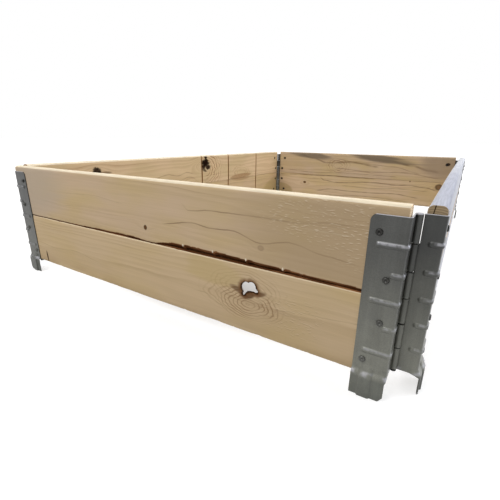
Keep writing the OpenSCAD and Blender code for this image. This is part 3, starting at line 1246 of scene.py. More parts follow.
def make_rivet_tree() -> Tree:
    """Builds the tree that sets a hollow rivet on each point: a low domed head and a rolled tail.

    Returns:
        The tree.
    """
    inputs = {
        "Geometry": "NodeSocketGeometry",
        "Head Radius": 0.0045,
        "Head Height": 0.002,
        "Tail Radius": 0.0027,
        "Tail Roll": 0.0010,
        "Grip": 0.0195,
        "Turn": (0.0, 0.0, 0.0),
        "Material": "NodeSocketMaterial",
    }
    g, come, go = new_group("hollow_rivets", "Geometry", inputs, ("Geometry",))
    barrel = g.node(
        "GeometryNodeMeshCylinder",
        {"Vertices": 28, "Side Segments": 5, "Fill Segments": 7, "Radius": 1.0, "Depth": 1.0},
        fill_type="TRIANGLE_FAN",
    )
    x, y, z = g.parts(g.node("GeometryNodeInputPosition").outputs[0])
    up = g.plus(z, 0.5)
    out = g.distance(x, y)
    rim = g.math("ABSOLUTE", g.over(g.minus(out, 0.62), 0.40))
    ring = g.math("SQRT", g.math("MAXIMUM", g.minus(1.0, g.math("POWER", rim, 2.4)), 0.0))
    ring = g.math("MAXIMUM", ring, g.span(out, 0.0, 0.3, 0.45, 0.3))
    tall = g.times(g.times(up, ring), come["Head Height"])
    wide = come["Head Radius"]
    spot = g.point(g.times(x, wide), g.times(y, wide), tall)
    dome = g.node("GeometryNodeSetPosition", {"Geometry": barrel.outputs["Mesh"], "Position": spot})
    round_path, round_edge = (
        g.node("GeometryNodeCurvePrimitiveCircle", {"Resolution": count, "Radius": come[name]}).outputs[0]
        for count, name in ((24, "Tail Radius"), (10, "Tail Roll"))
    )
    roll = g.node("GeometryNodeCurveToMesh", {"Curve": round_path, "Profile Curve": round_edge})
    plug = g.node(
        "GeometryNodeMeshCylinder",
        {"Vertices": 24, "Radius": come["Tail Radius"], "Depth": g.times(come["Tail Roll"], 0.7)},
        fill_type="NGON",
    )
    tail = g.join(roll.outputs[0], plug.outputs[0])
    down = g.point(0.0, 0.0, g.times(come["Grip"], -1.0))
    tail = g.node("GeometryNodeTransform", {"Geometry": tail, "Translation": down})
    rivet = g.join(dome.outputs[0], tail.outputs[0])
    points = g.node("GeometryNodeMeshToPoints", {"Mesh": come["Geometry"]})
    turn = g.node("FunctionNodeEulerToRotation", {0: come["Turn"]})
    placed = g.node(
        "GeometryNodeInstanceOnPoints",
        {"Points": points.outputs[0], "Instance": rivet, "Rotation": turn.outputs[0]},
    )
    return end_tree(g, come, go, placed.outputs[0])


@dataclass
class Board:
    """One sawn board of a side."""

    side: Side
    row: Row
    finish: WoodFinish
    seed: int
    pitch: float = 3.0
    bow: float = 0.6
    unevenness: float = 0.9
    still_ends: float = 50.0
    grooves: tuple[float, ...] = ()
    groove_width: float = 7.0
    groove_depth: float = 6.0
    groove_bevel: float = 0.02
    wane_line: tuple[Spot, ...] = ()
    wane_slope: float = 42.0
    wane_top: float = 16.0
    splinters: tuple[float, ...] = ()
    hole: tuple[Spot, ...] = ()
    hole_lean: Spot = (-0.60, -0.52)
    hole_flare: tuple[Spot, ...] = ((-6.0, 1.03), (3.0, 0.98), (24.0, 1.0))
    lip: float = 0.6
    lip_depth: float = 3.0
    joint_radius: float = 2.0
    worn_end: float = 0.0
    worn_reach: Spot = (60.0, 420.0)
    worn_depth: Spot = (12.0, 2.0)
    chip_reach: float = 5.0
    chip_depth: float = 0.7
    sharp_angle: float = 38.0

    @property
    def node(self) -> str:
        """The CAD node that this board stands for."""
        return f"{self.side.word}_{self.row.value}_board"

    def section(self) -> list[Spot]:
        """Draws the board's section as (depth, height) points, clockwise from the lower outer corner.

        Returns:
            The points, in millimetres.
        """
        deep, high = SIZES.board_thickness, SIZES.board_height
        top = SIZES.crown_radius if self.row is Row.UPPER else SIZES.edge_radius
        low = SIZES.edge_radius
        top_in, low_in = (top, self.joint_radius) if self.row is Row.UPPER else (self.joint_radius, low)
        points: list[Spot] = []

        def arc(middle: Spot, radius: float, start: float) -> None:
            """Adds a rounded corner, a quarter turn clockwise.

            Args:
                middle: The middle of the rounding.
                radius: Its radius.
                start: The angle where it starts, in degrees.
            """
            steps = 6 if radius > 3 else 4
            for step in range(steps + 1):
                turn = math.radians(start - 90 * step / steps)
                points.append((middle[0] + radius * math.cos(turn), middle[1] + radius * math.sin(turn)))

        def run(stop: Spot, pitch: float) -> None:
            """Adds points on a straight run from the last point, without its end.

            Args:
                stop: The run's end.
                pitch: About how far apart the points are.
            """
            start = points[-1]
            count = max(1, round(math.dist(start, stop) / pitch))
            for step in range(1, count):
                points.append(tuple(a + (b - a) * (step / count) for a, b in zip(start, stop)))

        fine, coarse = 1.0, 4.0
        arc((low, low), low, 270)
        if self.wane_line:
            run((0.0, self.wane_top), fine)
            points.append((0.0, self.wane_top))
        run((0.0, high - top), coarse)
        arc((top, high - top), top, 180)
        run((deep - top_in, high), 3.0)
        arc((deep - top_in, high - top_in), top_in, 90)
        run((deep, low_in), 4.5)
        arc((deep - low_in, low_in), low_in, 0)
        run((low, 0.0), 1.5 if self.wane_line else coarse)
        return points

    def sweep(self, tree: Tree, material: bpy.types.Material) -> Mesh:
        """Sweeps the section with the plank tree.

        Args:
            tree: The plank tree.
            material: The board's material.

        Returns:
            A plain mesh in the board's own frame, in metres.
        """
        outline = bpy.data.curves.new("section", "CURVE")
        outline.dimensions = "2D"
        points = self.section()
        spline = outline.splines.new("POLY")
        spline.points.add(len(points) - 1)
        for spot, (deep, high) in zip(spline.points, points):
            spot.co = (-deep * MM, -high * MM, 0.0, 1.0)
        spline.use_cyclic_u = True
        section = bpy.data.objects.new("section", outline)
        bpy.context.scene.collection.objects.link(section)
        length = SIZES.board_length(self.side)
        values = {
            "Section": section,
            "Length": length * MM,
            "Stations": int(round(length / self.pitch)) + 1,
            "Bow": self.bow * MM * (1 if self.seed % 2 else -1),
            "Unevenness": self.unevenness * MM,
            "Still Ends": self.still_ends * MM,
            "Seed": float(self.seed),
            "Material": material,
        }
        mesh = grow(bpy.data.meshes.new("plank"), tree, values, self.node)
        bpy.data.objects.remove(section)
        bpy.data.curves.remove(outline)
        return mesh

    def cut_grooves(self, points: np.ndarray) -> tuple[np.ndarray, np.ndarray]:
        """Presses the divider grooves into the inner face.

        Args:
            points: The board's points in its own frame, in millimetres.

        Returns:
            The points with the grooves, and which of them lie in a groove.
        """
        pressed, touch = np.zeros(len(points)), 0.01
        stations = np.unique(np.round(points[:, 0], 4))
        for middle in self.grooves:
            for way in (-1, 1):
                edge = middle + way * self.groove_width / 2
                for nudge in (-self.groove_bevel, self.groove_bevel):
                    gaps = np.abs(stations - edge - math.copysign(self.pitch / 2, nudge))
                    on_station = np.abs(points[:, 0] - stations[np.argmin(gaps)]) < touch
                    points[on_station, 0] = edge + nudge
            inside = np.abs(points[:, 0] - middle) < self.groove_width / 2
            floor = SIZES.board_thickness - self.groove_depth
            pressed[inside & (points[:, 1] > floor - touch)] = 1.0
            points[inside, 1] = np.minimum(points[inside, 1], floor)
        return points, pressed

    def wane_height(self, x: np.ndarray) -> np.ndarray:
        """The height of the waney edge along the board.

        Args:
            x: Places along the board.

        Returns:
            Heights above the board's lower edge.
        """
        places, heights = zip(*self.wane_line)
        height = np.interp(x, places, heights, left=0.0, right=heights[-1])
        rough = 0.25 * ripple(x, 5.0, self.seed) + 0.35 * ripple(x, 19.0, self.seed + 1)
        height += rough * np.clip(height / 2, 0, 1)
        for place in self.splinters:
            height -= 2.6 * bell(x, place, 1.8) - 1.2 * bell(x, place + 6, 4)
        return height

    def cut_wane(self, points: np.ndarray) -> tuple[np.ndarray, np.ndarray]:
        """Cuts the waney lower edge of the outer face.

        Args:
            points: The board's points in its own frame, in millimetres.

        Returns:
            The points, and how much each belongs to the bark-side face.
        """
        height = self.wane_height(points[:, 0])
        rise = math.tan(math.radians(90 - self.wane_slope))
        least = (height - points[:, 2]) * rise
        cut = least > points[:, 1]
        points[:, 1] = np.where(cut, least + 0.15 * ripple(points[:, 0], 3.0, 7), points[:, 1])
        return points, np.where(cut, 1.0, 0.0)

    def raise_lip(self, points: np.ndarray) -> np.ndarray:
        """Lifts the inner half of a lower board's top, so that the joint is a thin line from inside.

        Args:
            points: The board's points in its own frame, in millimetres.

        Returns:
            The points with the lip.
        """
        lip = self.lip * smooth(0.55, 0.7, points[:, 1] / SIZES.board_thickness)
        points[:, 2] += lip * smooth(SIZES.board_height - self.lip_depth, SIZES.board_height, points[:, 2])
        return points

    def wear_end(self, points: np.ndarray) -> np.ndarray:
        """Wears down the top of a board towards its left end.

        Args:
            points: The board's points in its own frame, in millimetres.

        Returns:
            The points, with the top lowered towards that end.
        """
        half, high = SIZES.board_length(self.side) / 2, SIZES.board_height
        crown_wear_and_highlight = self.worn_end * (1 - smooth(*self.worn_reach, points[:, 0] + half))
        start, stop = (high - depth for depth in self.worn_depth)
        points[:, 2] -= crown_wear_and_highlight * smooth(start, stop, points[:, 2])
        return points

    def chip_edges(self, points: np.ndarray) -> np.ndarray:
        """Takes small chips off the long edges.

        Args:
            points: The board's points in its own frame, in millimetres.

        Returns:
            The points with the chips.
        """
        deep, high = SIZES.board_thickness, SIZES.board_height
        for edge, (y, z) in enumerate(((0, 0), (0, high), (deep, 0), (deep, high))):
            away = np.hypot(points[:, 1] - y, points[:, 2] - z)
            wear = np.clip(ripple(points[:, 0], 7.0, self.seed * 9 + edge) - 0.55, 0, 1) * 1.6
            wear += 0.25 + 0.25 * ripple(points[:, 0], 41.0, self.seed * 9 + edge + 4)
            share = wear * np.clip(1 - away / self.chip_reach, 0, 1)
            points[:, 1] += share * np.sign(deep / 2 - y) * self.chip_depth
            points[:, 2] += share * np.sign(high / 2 - z) * self.chip_depth
        return points

    def drill_hole(self, mesh: Mesh) -> Mesh:
        """Cuts the lost knot's hole, which slopes through the board with the branch.

        Args:
            mesh: The board's mesh in its own frame, in metres.

        Returns:
            The mesh with the hole.
        """
        work = bmesh.new()
        loops = []
        middle = np.mean(self.hole, axis=0)
        lean = np.array(self.hole_lean)
        for deep, scale in self.hole_flare:
            spots = [(middle + (np.array(spot) - middle) * scale + lean * deep) for spot in self.hole]
            loops.append([work.verts.new((s[0] * MM, deep * MM, s[1] * MM)) for s in spots])
        count = len(self.hole)
        for near, far in zip(loops, loops[1:]):
            for step in range(count):
                after = (step + 1) % count
                work.faces.new((near[step], near[after], far[after], far[step]))
        work.faces.new(loops[0][::-1])
        work.faces.new(loops[-1])
        bmesh.ops.recalc_face_normals(work, faces=work.faces)
        cutter_mesh = bpy.data.meshes.new("cutter")
        work.to_mesh(cutter_mesh)
        work.free()
        cutter = link_mesh("cutter", cutter_mesh)
        holder = link_mesh("drilled", mesh)
        modifier = holder.modifiers.new("hole", "BOOLEAN")
        modifier.object = cutter
        modifier.operation = "DIFFERENCE"
        modifier.solver = "EXACT"
        made = bake_modifiers(holder, mesh.name)
        bpy.data.objects.remove(cutter)
        return made

    def build(self, tree: Tree, groups: Groups) -> bpy.types.Object:
        """Builds and dresses the board where it stands.

        Args:
            tree: The plank tree.
            groups: The shared shader groups.

        Returns:
            The finished piece.
        """
        paint = BoardPaint(f"wood_{self.node}", self.finish, self.side, self.row, groups)
        mesh = self.sweep(tree, paint.material())
        points = read_points(mesh) / MM
        marks = {name: np.zeros(len(points)) for name in ("groove", "wane")}
        if self.row is Row.LOWER:
            points = self.raise_lip(points)
        if self.grooves:
            points, marks["groove"] = self.cut_grooves(points)
        points = self.chip_edges(points)
        if self.worn_end:
            points = self.wear_end(points)
        if self.wane_line:
            points, marks["wane"] = self.cut_wane(points)
        for name, values in marks.items():
            add_mark(mesh, name, values)
        mesh.vertices.foreach_set("co", (points * MM).ravel())
        tidy_mesh(mesh, self.sharp_angle)
        if self.hole:
            mesh = self.drill_hole(mesh)
            tidy_mesh(mesh, self.sharp_angle, 1e-7)
        points = read_points(mesh) / MM
        points[:, 2] += SIZES.row_bottom(self.row)
        mesh.vertices.foreach_set("co", SIZES.to_row_frame(points, self.side).ravel())
        mesh.update()
        return place_piece(f"{self.node}_sawn", mesh, self.side, Slot.WOOD, self.node)


@dataclass
class HingeLeaf:
    """One pressed hinge leaf: a face plate with a set-out foot, a folded web and rolled knuckles."""

    side: Side
    end: End
    node: str
    width: float = 35.0
    top: float = 211.0
    bottom: float = 28.0
    corner: float = 7.0
    knuckles: int = 6
    pitch: float = 30.5
    knuckle_gap: Spot = (1.9, 1.1)
    web_cut: float = 4.45
    web_hairline: float = 3.35
    web_line: float = 24.0
    web_drop: float = 4.0
    web_sweep: float = 9.0
    web_squeeze: float = 36.0
    neck_lines: tuple[float, ...] = (2.4, 1.2, 0.0)
    fold_points: int = 9
    roll_points: int = 40
    roll_turn: float = 303.0
    rib_width: float = 7.0
    rib_rise: Spot = (1.5, 1.25)
    short_rib_rise: float = 1.3
    rib_crest: float = 0.42
    rib_margin: float = 7.0
    short_rib: float = 7.0
    web_rib: float = 14.25
    # Place, width and share of the painted highlight above each rib.
    rub_lift: float = 1.3
    rub_width: Spot = (0.2, 1.7)
    rub_share: Spot = (0.6, 1.0)
    foot_offset: float = 4.0
    foot_hold: float = 9.0
    joggle: Spot = (26.5, 34.5)
    chamfer: Spot = (4.0, 6.0)
    channel: Spot = (13.0, 2.0)
    channel_shift: float = 1.5
    channel_reach: float = 6.0
    floor_gap: float = 0.25
    step: float = 1.15
    row_step: float = 0.8
    edge_bevel: float = 0.22
    bevel_angle: float = 50.0
    sharp_angle: float = 45.0
    web_columns: int = field(init=False)
    columns: np.ndarray = field(init=False)
    path: np.ndarray = field(init=False)
    normal: np.ndarray = field(init=False)
    rows: np.ndarray = field(init=False)

    def __post_init__(self) -> None:
        """Lays out the blank: columns along the sheet and rows up it."""
        mid = SIZES.bore_radius + SIZES.sheet / 2
        fold = SIZES.bend_radius + SIZES.sheet / 2
        end = SIZES.board_end
        web_end = SIZES.pin_depth - self.web_cut
        path, normal = [], []
        for x in np.linspace(end - self.width, end, round(self.width / self.step) + 1):
            path.append((x, -SIZES.sheet / 2))
            normal.append((0.0, -1.0))
        for turn in np.linspace(0, math.pi / 2, self.fold_points)[1:]:
            path.append((end + fold * math.sin(turn), SIZES.bend_radius - fold * math.cos(turn)))
            normal.append((math.sin(turn), -math.cos(turn)))
        for y in np.linspace(SIZES.bend_radius, web_end, round((web_end - 1) / self.step) + 1)[1:]:
            path.append((-mid, y))
            normal.append((1.0, 0.0))
        self.web_columns = len(path)
        for y in SIZES.pin_depth - np.array((self.web_hairline, *self.neck_lines)):
            path.append((-mid, y))
            normal.append((1.0, 0.0))
        for turn in np.radians(np.linspace(180, 180 - self.roll_turn, self.roll_points))[1:]:
            path.append((mid * math.cos(turn), SIZES.pin_depth + mid * math.sin(turn)))
            normal.append((-math.cos(turn), -math.sin(turn)))
        self.path, self.normal = np.array(path), np.array(normal)
        along = np.hypot(*np.diff(self.path, axis=0).T)
        self.columns = np.concatenate([[0.0], np.cumsum(along)])
        keys = {0.0, self.chamfer[1], self.web_line, self.bottom, self.joggle[1]}
        keys |= {self.top - self.corner, self.top}
        for count in range(self.knuckles + 1):
            line = self.bottom + count * self.pitch
            half = self.gap(count) / 2
            keys |= {line - half, line + half} if half else set()
        heights = sorted(keys)
        rows = [heights[0]]
        for low, high in zip(heights, heights[1:]):
            rows += list(np.linspace(low, high, max(1, round((high - low) / self.row_step)) + 1)[1:])
        self.rows = np.array(rows)

    @property
    def fold_start(self) -> float:
        """Where the fold starts, along the sheet."""
        return self.width

    @property
    def foot_columns(self) -> int:
        """How many columns the foot takes."""
        return int(np.searchsorted(self.path[:, 0] + 1e-6, -(SIZES.bore_radius + SIZES.sheet))) + 1

    def gap(self, line: int) -> float:
        """The gap between two knuckles at a line between them, counted from below."""
        return self.knuckle_gap[line % 2] if 0 < line < self.knuckles else 0.0

    def knuckle_spans(self) -> list[Spot]:
        """The heights between which this leaf has knuckles.

        Returns:
            Pairs of heights, in millimetres.
        """
        spans = []
        for step in range(1 if self.end is End.RIGHT else 0, self.knuckles, 2):
            low = self.bottom + step * self.pitch + self.gap(step) / 2
            high = self.bottom + (step + 1) * self.pitch - self.gap(step + 1) / 2
            spans.append((low, high))
        return spans

    def press(
        self,
        s: np.ndarray,
        x: np.ndarray,
        z: np.ndarray,
    ) -> tuple[np.ndarray, np.ndarray, np.ndarray]:
        """The pressed forms of the sheet.

        Args:
            s: Places along the sheet.
            x: Places across the face plate, from the pin.
            z: Heights.

        Returns:
            How far the sheet stands out along its own normal, how far it is set out with the foot, and how
            much painted highlight it gets along the upper side of the ribs.
        """
        out, crest = np.zeros_like(s), np.zeros_like(s)
        half_rib = self.rib_width / 2
        stop = self.fold_start + self.web_rib - half_rib
        for line in range(1, self.knuckles):
            height = self.bottom + line * self.pitch
            is_long = line % 2 == 1
            start = self.rib_margin + half_rib if is_long else self.fold_start - self.short_rib
            away = np.hypot(s - np.clip(s, start, stop), z - height) / half_rib
            rise = self.rib_rise if is_long else (self.short_rib_rise, self.rib_rise[1])
            tall = np.interp(s, [start, self.fold_start], rise)
            out = np.maximum(out, tall * (1 - smooth(self.rib_crest, 1.0, away)))
            # Painted highlight: a band just above each rib's middle line, fullest on the top rib.
            off = np.hypot(s - np.clip(s, start, stop - 3), z - height - self.rub_lift)
            rubbed = self.rub_share[line == self.knuckles - 1] * (1 - smooth(*self.rub_width, off))
            crest = np.maximum(crest, rubbed)
        low, high = self.joggle
        hold = 1 - smooth(0, self.foot_hold, s - self.fold_start)
        set_out = self.foot_offset * (1 - smooth(low - 0.5, high + 0.5, z)) * hold
        middle = SIZES.board_end - self.width / 2 - self.channel_shift
        half = self.channel[0] / 2
        across = 1 - smooth(half - 1.0, half + 1.0, np.abs(x - middle))
        upward = 1 - smooth(high, high + self.channel_reach, z)
        out += self.channel[1] * across * upward * (s < self.fold_start)
        return out, set_out, crest

    def blank(self) -> tuple[np.ndarray, list[tuple[int, int, int, int]], np.ndarray]:
        """Forms the blank's grid and chooses the faces that stay.

        Returns:
            The points in the leaf's own frame, the faces, and how much painted highlight each point gets.
        """
        s, z = np.meshgrid(self.columns, self.rows, indexing="ij")
        lines = (*self.path.T, *self.normal.T)
        x, y, nx, ny = (np.repeat(line[:, None], len(self.rows), axis=1) for line in lines)
        grid_z = z.copy()
        foot = self.foot_columns
        u, v = np.clip(1 - s / self.corner, 0, 1), np.clip((z - self.top + self.corner) / self.corner, 0, 1)
        x = x + self.corner * (u - u * np.sqrt(1 - v * v / 2))
        z = z - self.corner * (v - v * np.sqrt(1 - u * u / 2))
        past = np.clip((s - self.columns[foot - 1]) / self.web_sweep, 0, 1)
        lowest = self.bottom - self.web_drop * (1 - past) ** 2
        reach = self.web_squeeze
        squeezed = reach - (reach - z) * (reach - lowest) / (reach - self.web_line)
        z = np.where((np.arange(len(self.columns))[:, None] >= foot) & (z < reach), squeezed, z)
        edge = SIZES.board_end - self.width
        full = -(SIZES.bore_radius + SIZES.sheet) - edge
        cut = self.chamfer[0] * np.clip(1 - z / self.chamfer[1], 0, 1)
        x = np.where(z < self.chamfer[1], edge + (x - edge) * (full - cut) / full, x)
        out, set_out, crest = self.press(s, x, z)
        x = x + nx * out
        y = y + ny * out - set_out
        points = np.stack([x, y, z], axis=-1).reshape(-1, 3)
        points[:, 2] = np.maximum(points[:, 2], self.floor_gap)
        faces = []
        high = len(self.rows)
        spans = self.knuckle_spans()
        for i in range(len(self.columns) - 1):
            for j in range(high - 1):
                mid = (grid_z[i, j] + grid_z[i, j + 1]) / 2
                in_foot = i + 1 < foot
                in_web = i + 1 < self.web_columns + (grid_z[i, j] < self.top - self.pitch - 1)
                tongue = any(low < mid < top for low, top in spans)
                if in_foot or (mid > self.web_line and (in_web or (tongue and mid > self.bottom))):
                    here, beside = i * high + j, (i + 1) * high + j
                    faces.append((here, beside, beside + 1, here + 1))
        return points, faces, crest.ravel()

    def build(self, material: bpy.types.Material) -> bpy.types.Object:
        """Builds the leaf where it stands.

        Args:
            material: The leaf's material.

        Returns:
            The finished piece.
        """
        points, faces, crest = self.blank()
        way = self.end.value
        points = points * (way, 1, 1) + (way * SIZES.pin_place(self.side), 0, 0)
        if way < 0:
            faces = [face[::-1] for face in faces]
        mesh = bpy.data.meshes.new(self.node)
        mesh.from_pydata(SIZES.to_row_frame(points, self.side).tolist(), [], faces)
        # Keeps the painted highlight of the ribs for each point.
        add_mark(mesh, "crest", crest)
        work = bmesh.new()
        work.from_mesh(mesh)
        loose = [spot for spot in work.verts if not spot.link_faces]
        bmesh.ops.delete(work, geom=loose, context="VERTS")
        work.to_mesh(mesh)
        work.free()
        mesh.materials.append(material)
        holder = link_mesh("leaf", mesh)
        wall = holder.modifiers.new("wall", "SOLIDIFY")
        wall.thickness = SIZES.sheet * MM
        wall.offset = 0.0
        wall.use_even_offset = True
        edge = holder.modifiers.new("edge", "BEVEL")
        edge.width = self.edge_bevel * MM
        edge.segments = 1
        edge.limit_method = "ANGLE"
        edge.angle_limit = math.radians(self.bevel_angle)
        made = bake_modifiers(holder, self.node)
        tidy_mesh(made, self.sharp_angle, 1e-6)
        return place_piece(f"{self.node}_pressed", made, self.side, Slot.SHEET, self.node)


@dataclass
class SideRivets:
    """All rivets of one side."""

    side: Side
    nodes: tuple[str, str]
    head_radius: float = 3.7
    head_height: float = 1.9
    tail_radius: float = 3.2
    tail_roll: float = 1.2
    sharp_angle: float = 40.0

    def places(self) -> np.ndarray:
        """The points where the heads sit on the leaves.

        Returns:
            Points in metres in the shared frame.
        """
        spots = [(along, -SIZES.sheet, height) for along, height in SIZES.rivet_places(self.side)]
        return SIZES.to_row_frame(np.array(spots), self.side)

    def build(self, tree: Tree, material: bpy.types.Material) -> bpy.types.Object:
        """Sets the rivets with the rivet tree.

        Args:
            tree: The rivet tree.
            material: The rivets' material.

        Returns:
            The finished piece.
        """
        spots = bpy.data.meshes.new("rivet_places")
        spots.from_pydata(self.places().tolist(), [], [])
        values = {
            "Head Radius": self.head_radius * MM,
            "Head Height": self.head_height * MM,
            "Tail Radius": self.tail_radius * MM,
            "Tail Roll": self.tail_roll * MM,
            "Grip": (SIZES.board_thickness + SIZES.sheet) * MM,
            "Turn": (math.pi / 2, 0.0, math.pi / 2 * self.side.value),
            "Material": material,
        }
        mesh = grow(spots, tree, values, f"{self.side.word}_rivets")
        tidy_mesh(mesh, self.sharp_angle, 1e-7)
        return place_piece(f"{self.side.body}_rivets_set", mesh, self.side, Slot.RIVET, *self.nodes)


@dataclass(frozen=True)
class Studio:
    """The floor, the lamps and the camera, in metres and degrees."""

    eye: Point = (0.40589, -0.94044, 0.27855)
    yaw: float = -31.818
    pitch: float = 18.319
    roll: float = 0.724
    lens: float = 24.142
    world_level: float = 0.28
    floor_level: float = 0.66
    floor_half: float = 40.0
    floor_reach: Spot = (0.9, 2.6)
    # A painted shadow on the floor close behind the near side: its middle, half sizes and darkest level.
    shade_place: Point = (0.03, -0.45, 0.0)
    shade_size: Point = (0.36, 0.18, 1.0)
    shade_level: float = 0.08

    def camera(self) -> None:
        """Sets up the camera at the photograph's viewing angle."""
        yaw, pitch, roll = (math.radians(v) for v in (self.yaw, self.pitch, self.roll))
        ahead = Vector((math.sin(yaw) * math.cos(pitch), math.cos(yaw) * math.cos(pitch), -math.sin(pitch)))
        right = Vector((math.cos(yaw), -math.sin(yaw), 0.0))
        up = right.cross(ahead)
        across = math.cos(roll) * right + math.sin(roll) * up
        upright = -math.sin(roll) * right + math.cos(roll) * up
        turn = Matrix((across, upright, -ahead)).transposed()
        data = bpy.data.cameras.new("camera")
        data.sensor_width = 36.0
        data.lens = self.lens
        data.clip_start = 0.01
        data.clip_end = 100.0
        made = bpy.data.objects.new("camera", data)
        made.matrix_world = Matrix.Translation(self.eye) @ turn.to_4x4()
        bpy.context.scene.collection.objects.link(made)
        bpy.context.scene.camera = made

    def seen(self, g: Graph) -> Socket:
        """True where the camera, a mirror or glass looks at the stage.

        Args:
            g: The graph of the stage's material or of the world.

        Returns:
            The socket of the answer.
        """
        path = g.node("ShaderNodeLightPath").outputs
        either = g.math("MAXIMUM", path["Is Camera Ray"], path["Is Glossy Ray"])
        return g.math("MAXIMUM", either, path["Is Transmission Ray"])

    def world(self) -> None:
        """Makes a white surround that lights the object softly."""
        world = bpy.data.worlds.new("studio")
        bpy.context.scene.world = world
        world.use_nodes = True
        g = Graph(world.node_tree)
        sky = world.node_tree.nodes["Background"]
        level = g.times_plus(self.seen(g), 1.0 - self.world_level, self.world_level)
        sky.inputs["Color"].default_value = (1.0, 1.0, 1.0, 1.0)
        g.put(sky.inputs["Strength"], level)

    def floor(self) -> None:
        """Lays a pale floor that keeps the shadow, with a painted shadow close behind the near side."""
        mesh = bpy.data.meshes.new("floor")
        far = self.floor_half
        corners = [(x * far, y * far, 0) for x, y in ((-1, -1), (1, -1), (1, 1), (-1, 1))]
        mesh.from_pydata(corners, [], [(0, 1, 2, 3)])
        made = link_mesh("floor", mesh)
        paint, g, shader = new_material("floor_paint")
        g.put(shader.inputs["Base Color"], (0.5, 0.5, 0.5))
        shader.inputs["Roughness"].default_value = 0.9
        shader.inputs["Specular IOR Level"].default_value = 0.0
        g.put(shader.inputs["Emission Color"], (1.0, 1.0, 1.0))
        place = g.node("ShaderNodeTexCoord").outputs["Object"]
        level = g.span(g.vector("LENGTH", place, out=1), *self.floor_reach, self.floor_level, 1.0)
        # Painted shadow: the floor's brightness drops inside an oval close behind the near side.
        shade = g.vector("SUBTRACT", place, self.shade_place)
        shade = g.vector("LENGTH", g.vector("DIVIDE", shade, self.shade_size), out=1)
        level = g.times(level, g.span(shade, 0.0, 1.0, self.shade_level, 1.0))
        g.put(shader.inputs["Emission Strength"], g.times(self.seen(g), level))
        mesh.materials.append(paint)

    def lamp(self, name: str, place: Point, aim: Point, size: float, power: float, colour: Colour) -> None:
        """Hangs one square soft lamp.

        Args:
            name: The lamp's name.
            place: Where it hangs.
            aim: Where it points.
            size: The length of its side.
            power: Its power in watts.
            colour: Its colour.
        """
        data = bpy.data.lights.new(name, "AREA")
        data.size = size
        data.energy = power
        data.color = colour
        made = bpy.data.objects.new(name, data)
        made.location = place
        made.rotation_euler = (Vector(aim) - Vector(place)).to_track_quat("-Z", "Y").to_euler()
        bpy.context.scene.collection.objects.link(made)

    def build(self) -> None:
        """Builds the whole studio."""
        self.camera()
        self.world()
        self.floor()
        room, daylight = (1.0, 0.99, 0.98), (0.85, 0.88, 1.0)
        self.lamp("overhead", (0.2, 0.4, 2.6), (0.0, 0.1, 0.0), 2.2, 50.0, room)
        self.lamp("front_top", (-0.7, -2.3, 2.2), (-0.1, -0.3, 0.1), 1.2, 46.0, room)
        self.lamp("window", (3.0, 1.0, 1.1), (0.3, 0.1, 0.15), 1.5, 56.0, daylight)
        bpy.context.scene.view_settings.view_transform = "Standard"


SHORT_HALF = SIZES.board_length(Side.FRONT) / 2
WANE_SHARES = ((-0.87, 0.2), (-0.08, 4), (0.045, 0.6), (0.16, 8), (0.4, 8.5), (0.9, 4), (1.01, 3.5))
WANE_LINE = tuple((share * SHORT_HALF, height) for share, height in WANE_SHARES)
KNOT_HOLE = (
    (182.0, 67.7),
    (183.9, 72.0),
    (187.6, 74.7),
    (190.7, 74.9),
    (192.4, 73.7),
    (194.5, 75.4),
    (198.2, 76.4),
    (202.0, 74.9),
    (203.9, 71.5),
    (204.5, 68.3),
    (207.6, 65.1),
    (207.4, 63.3),
    (204.5, 61.9),
    (201.4, 63.0),
    (195.7, 62.6),
    (191.4, 61.6),
    (188.2, 58.1),
    (186.4, 55.0),
    (184.5, 54.0),
    (183.9, 56.6),
    (185.1, 59.6),
    (182.6, 63.5),
)


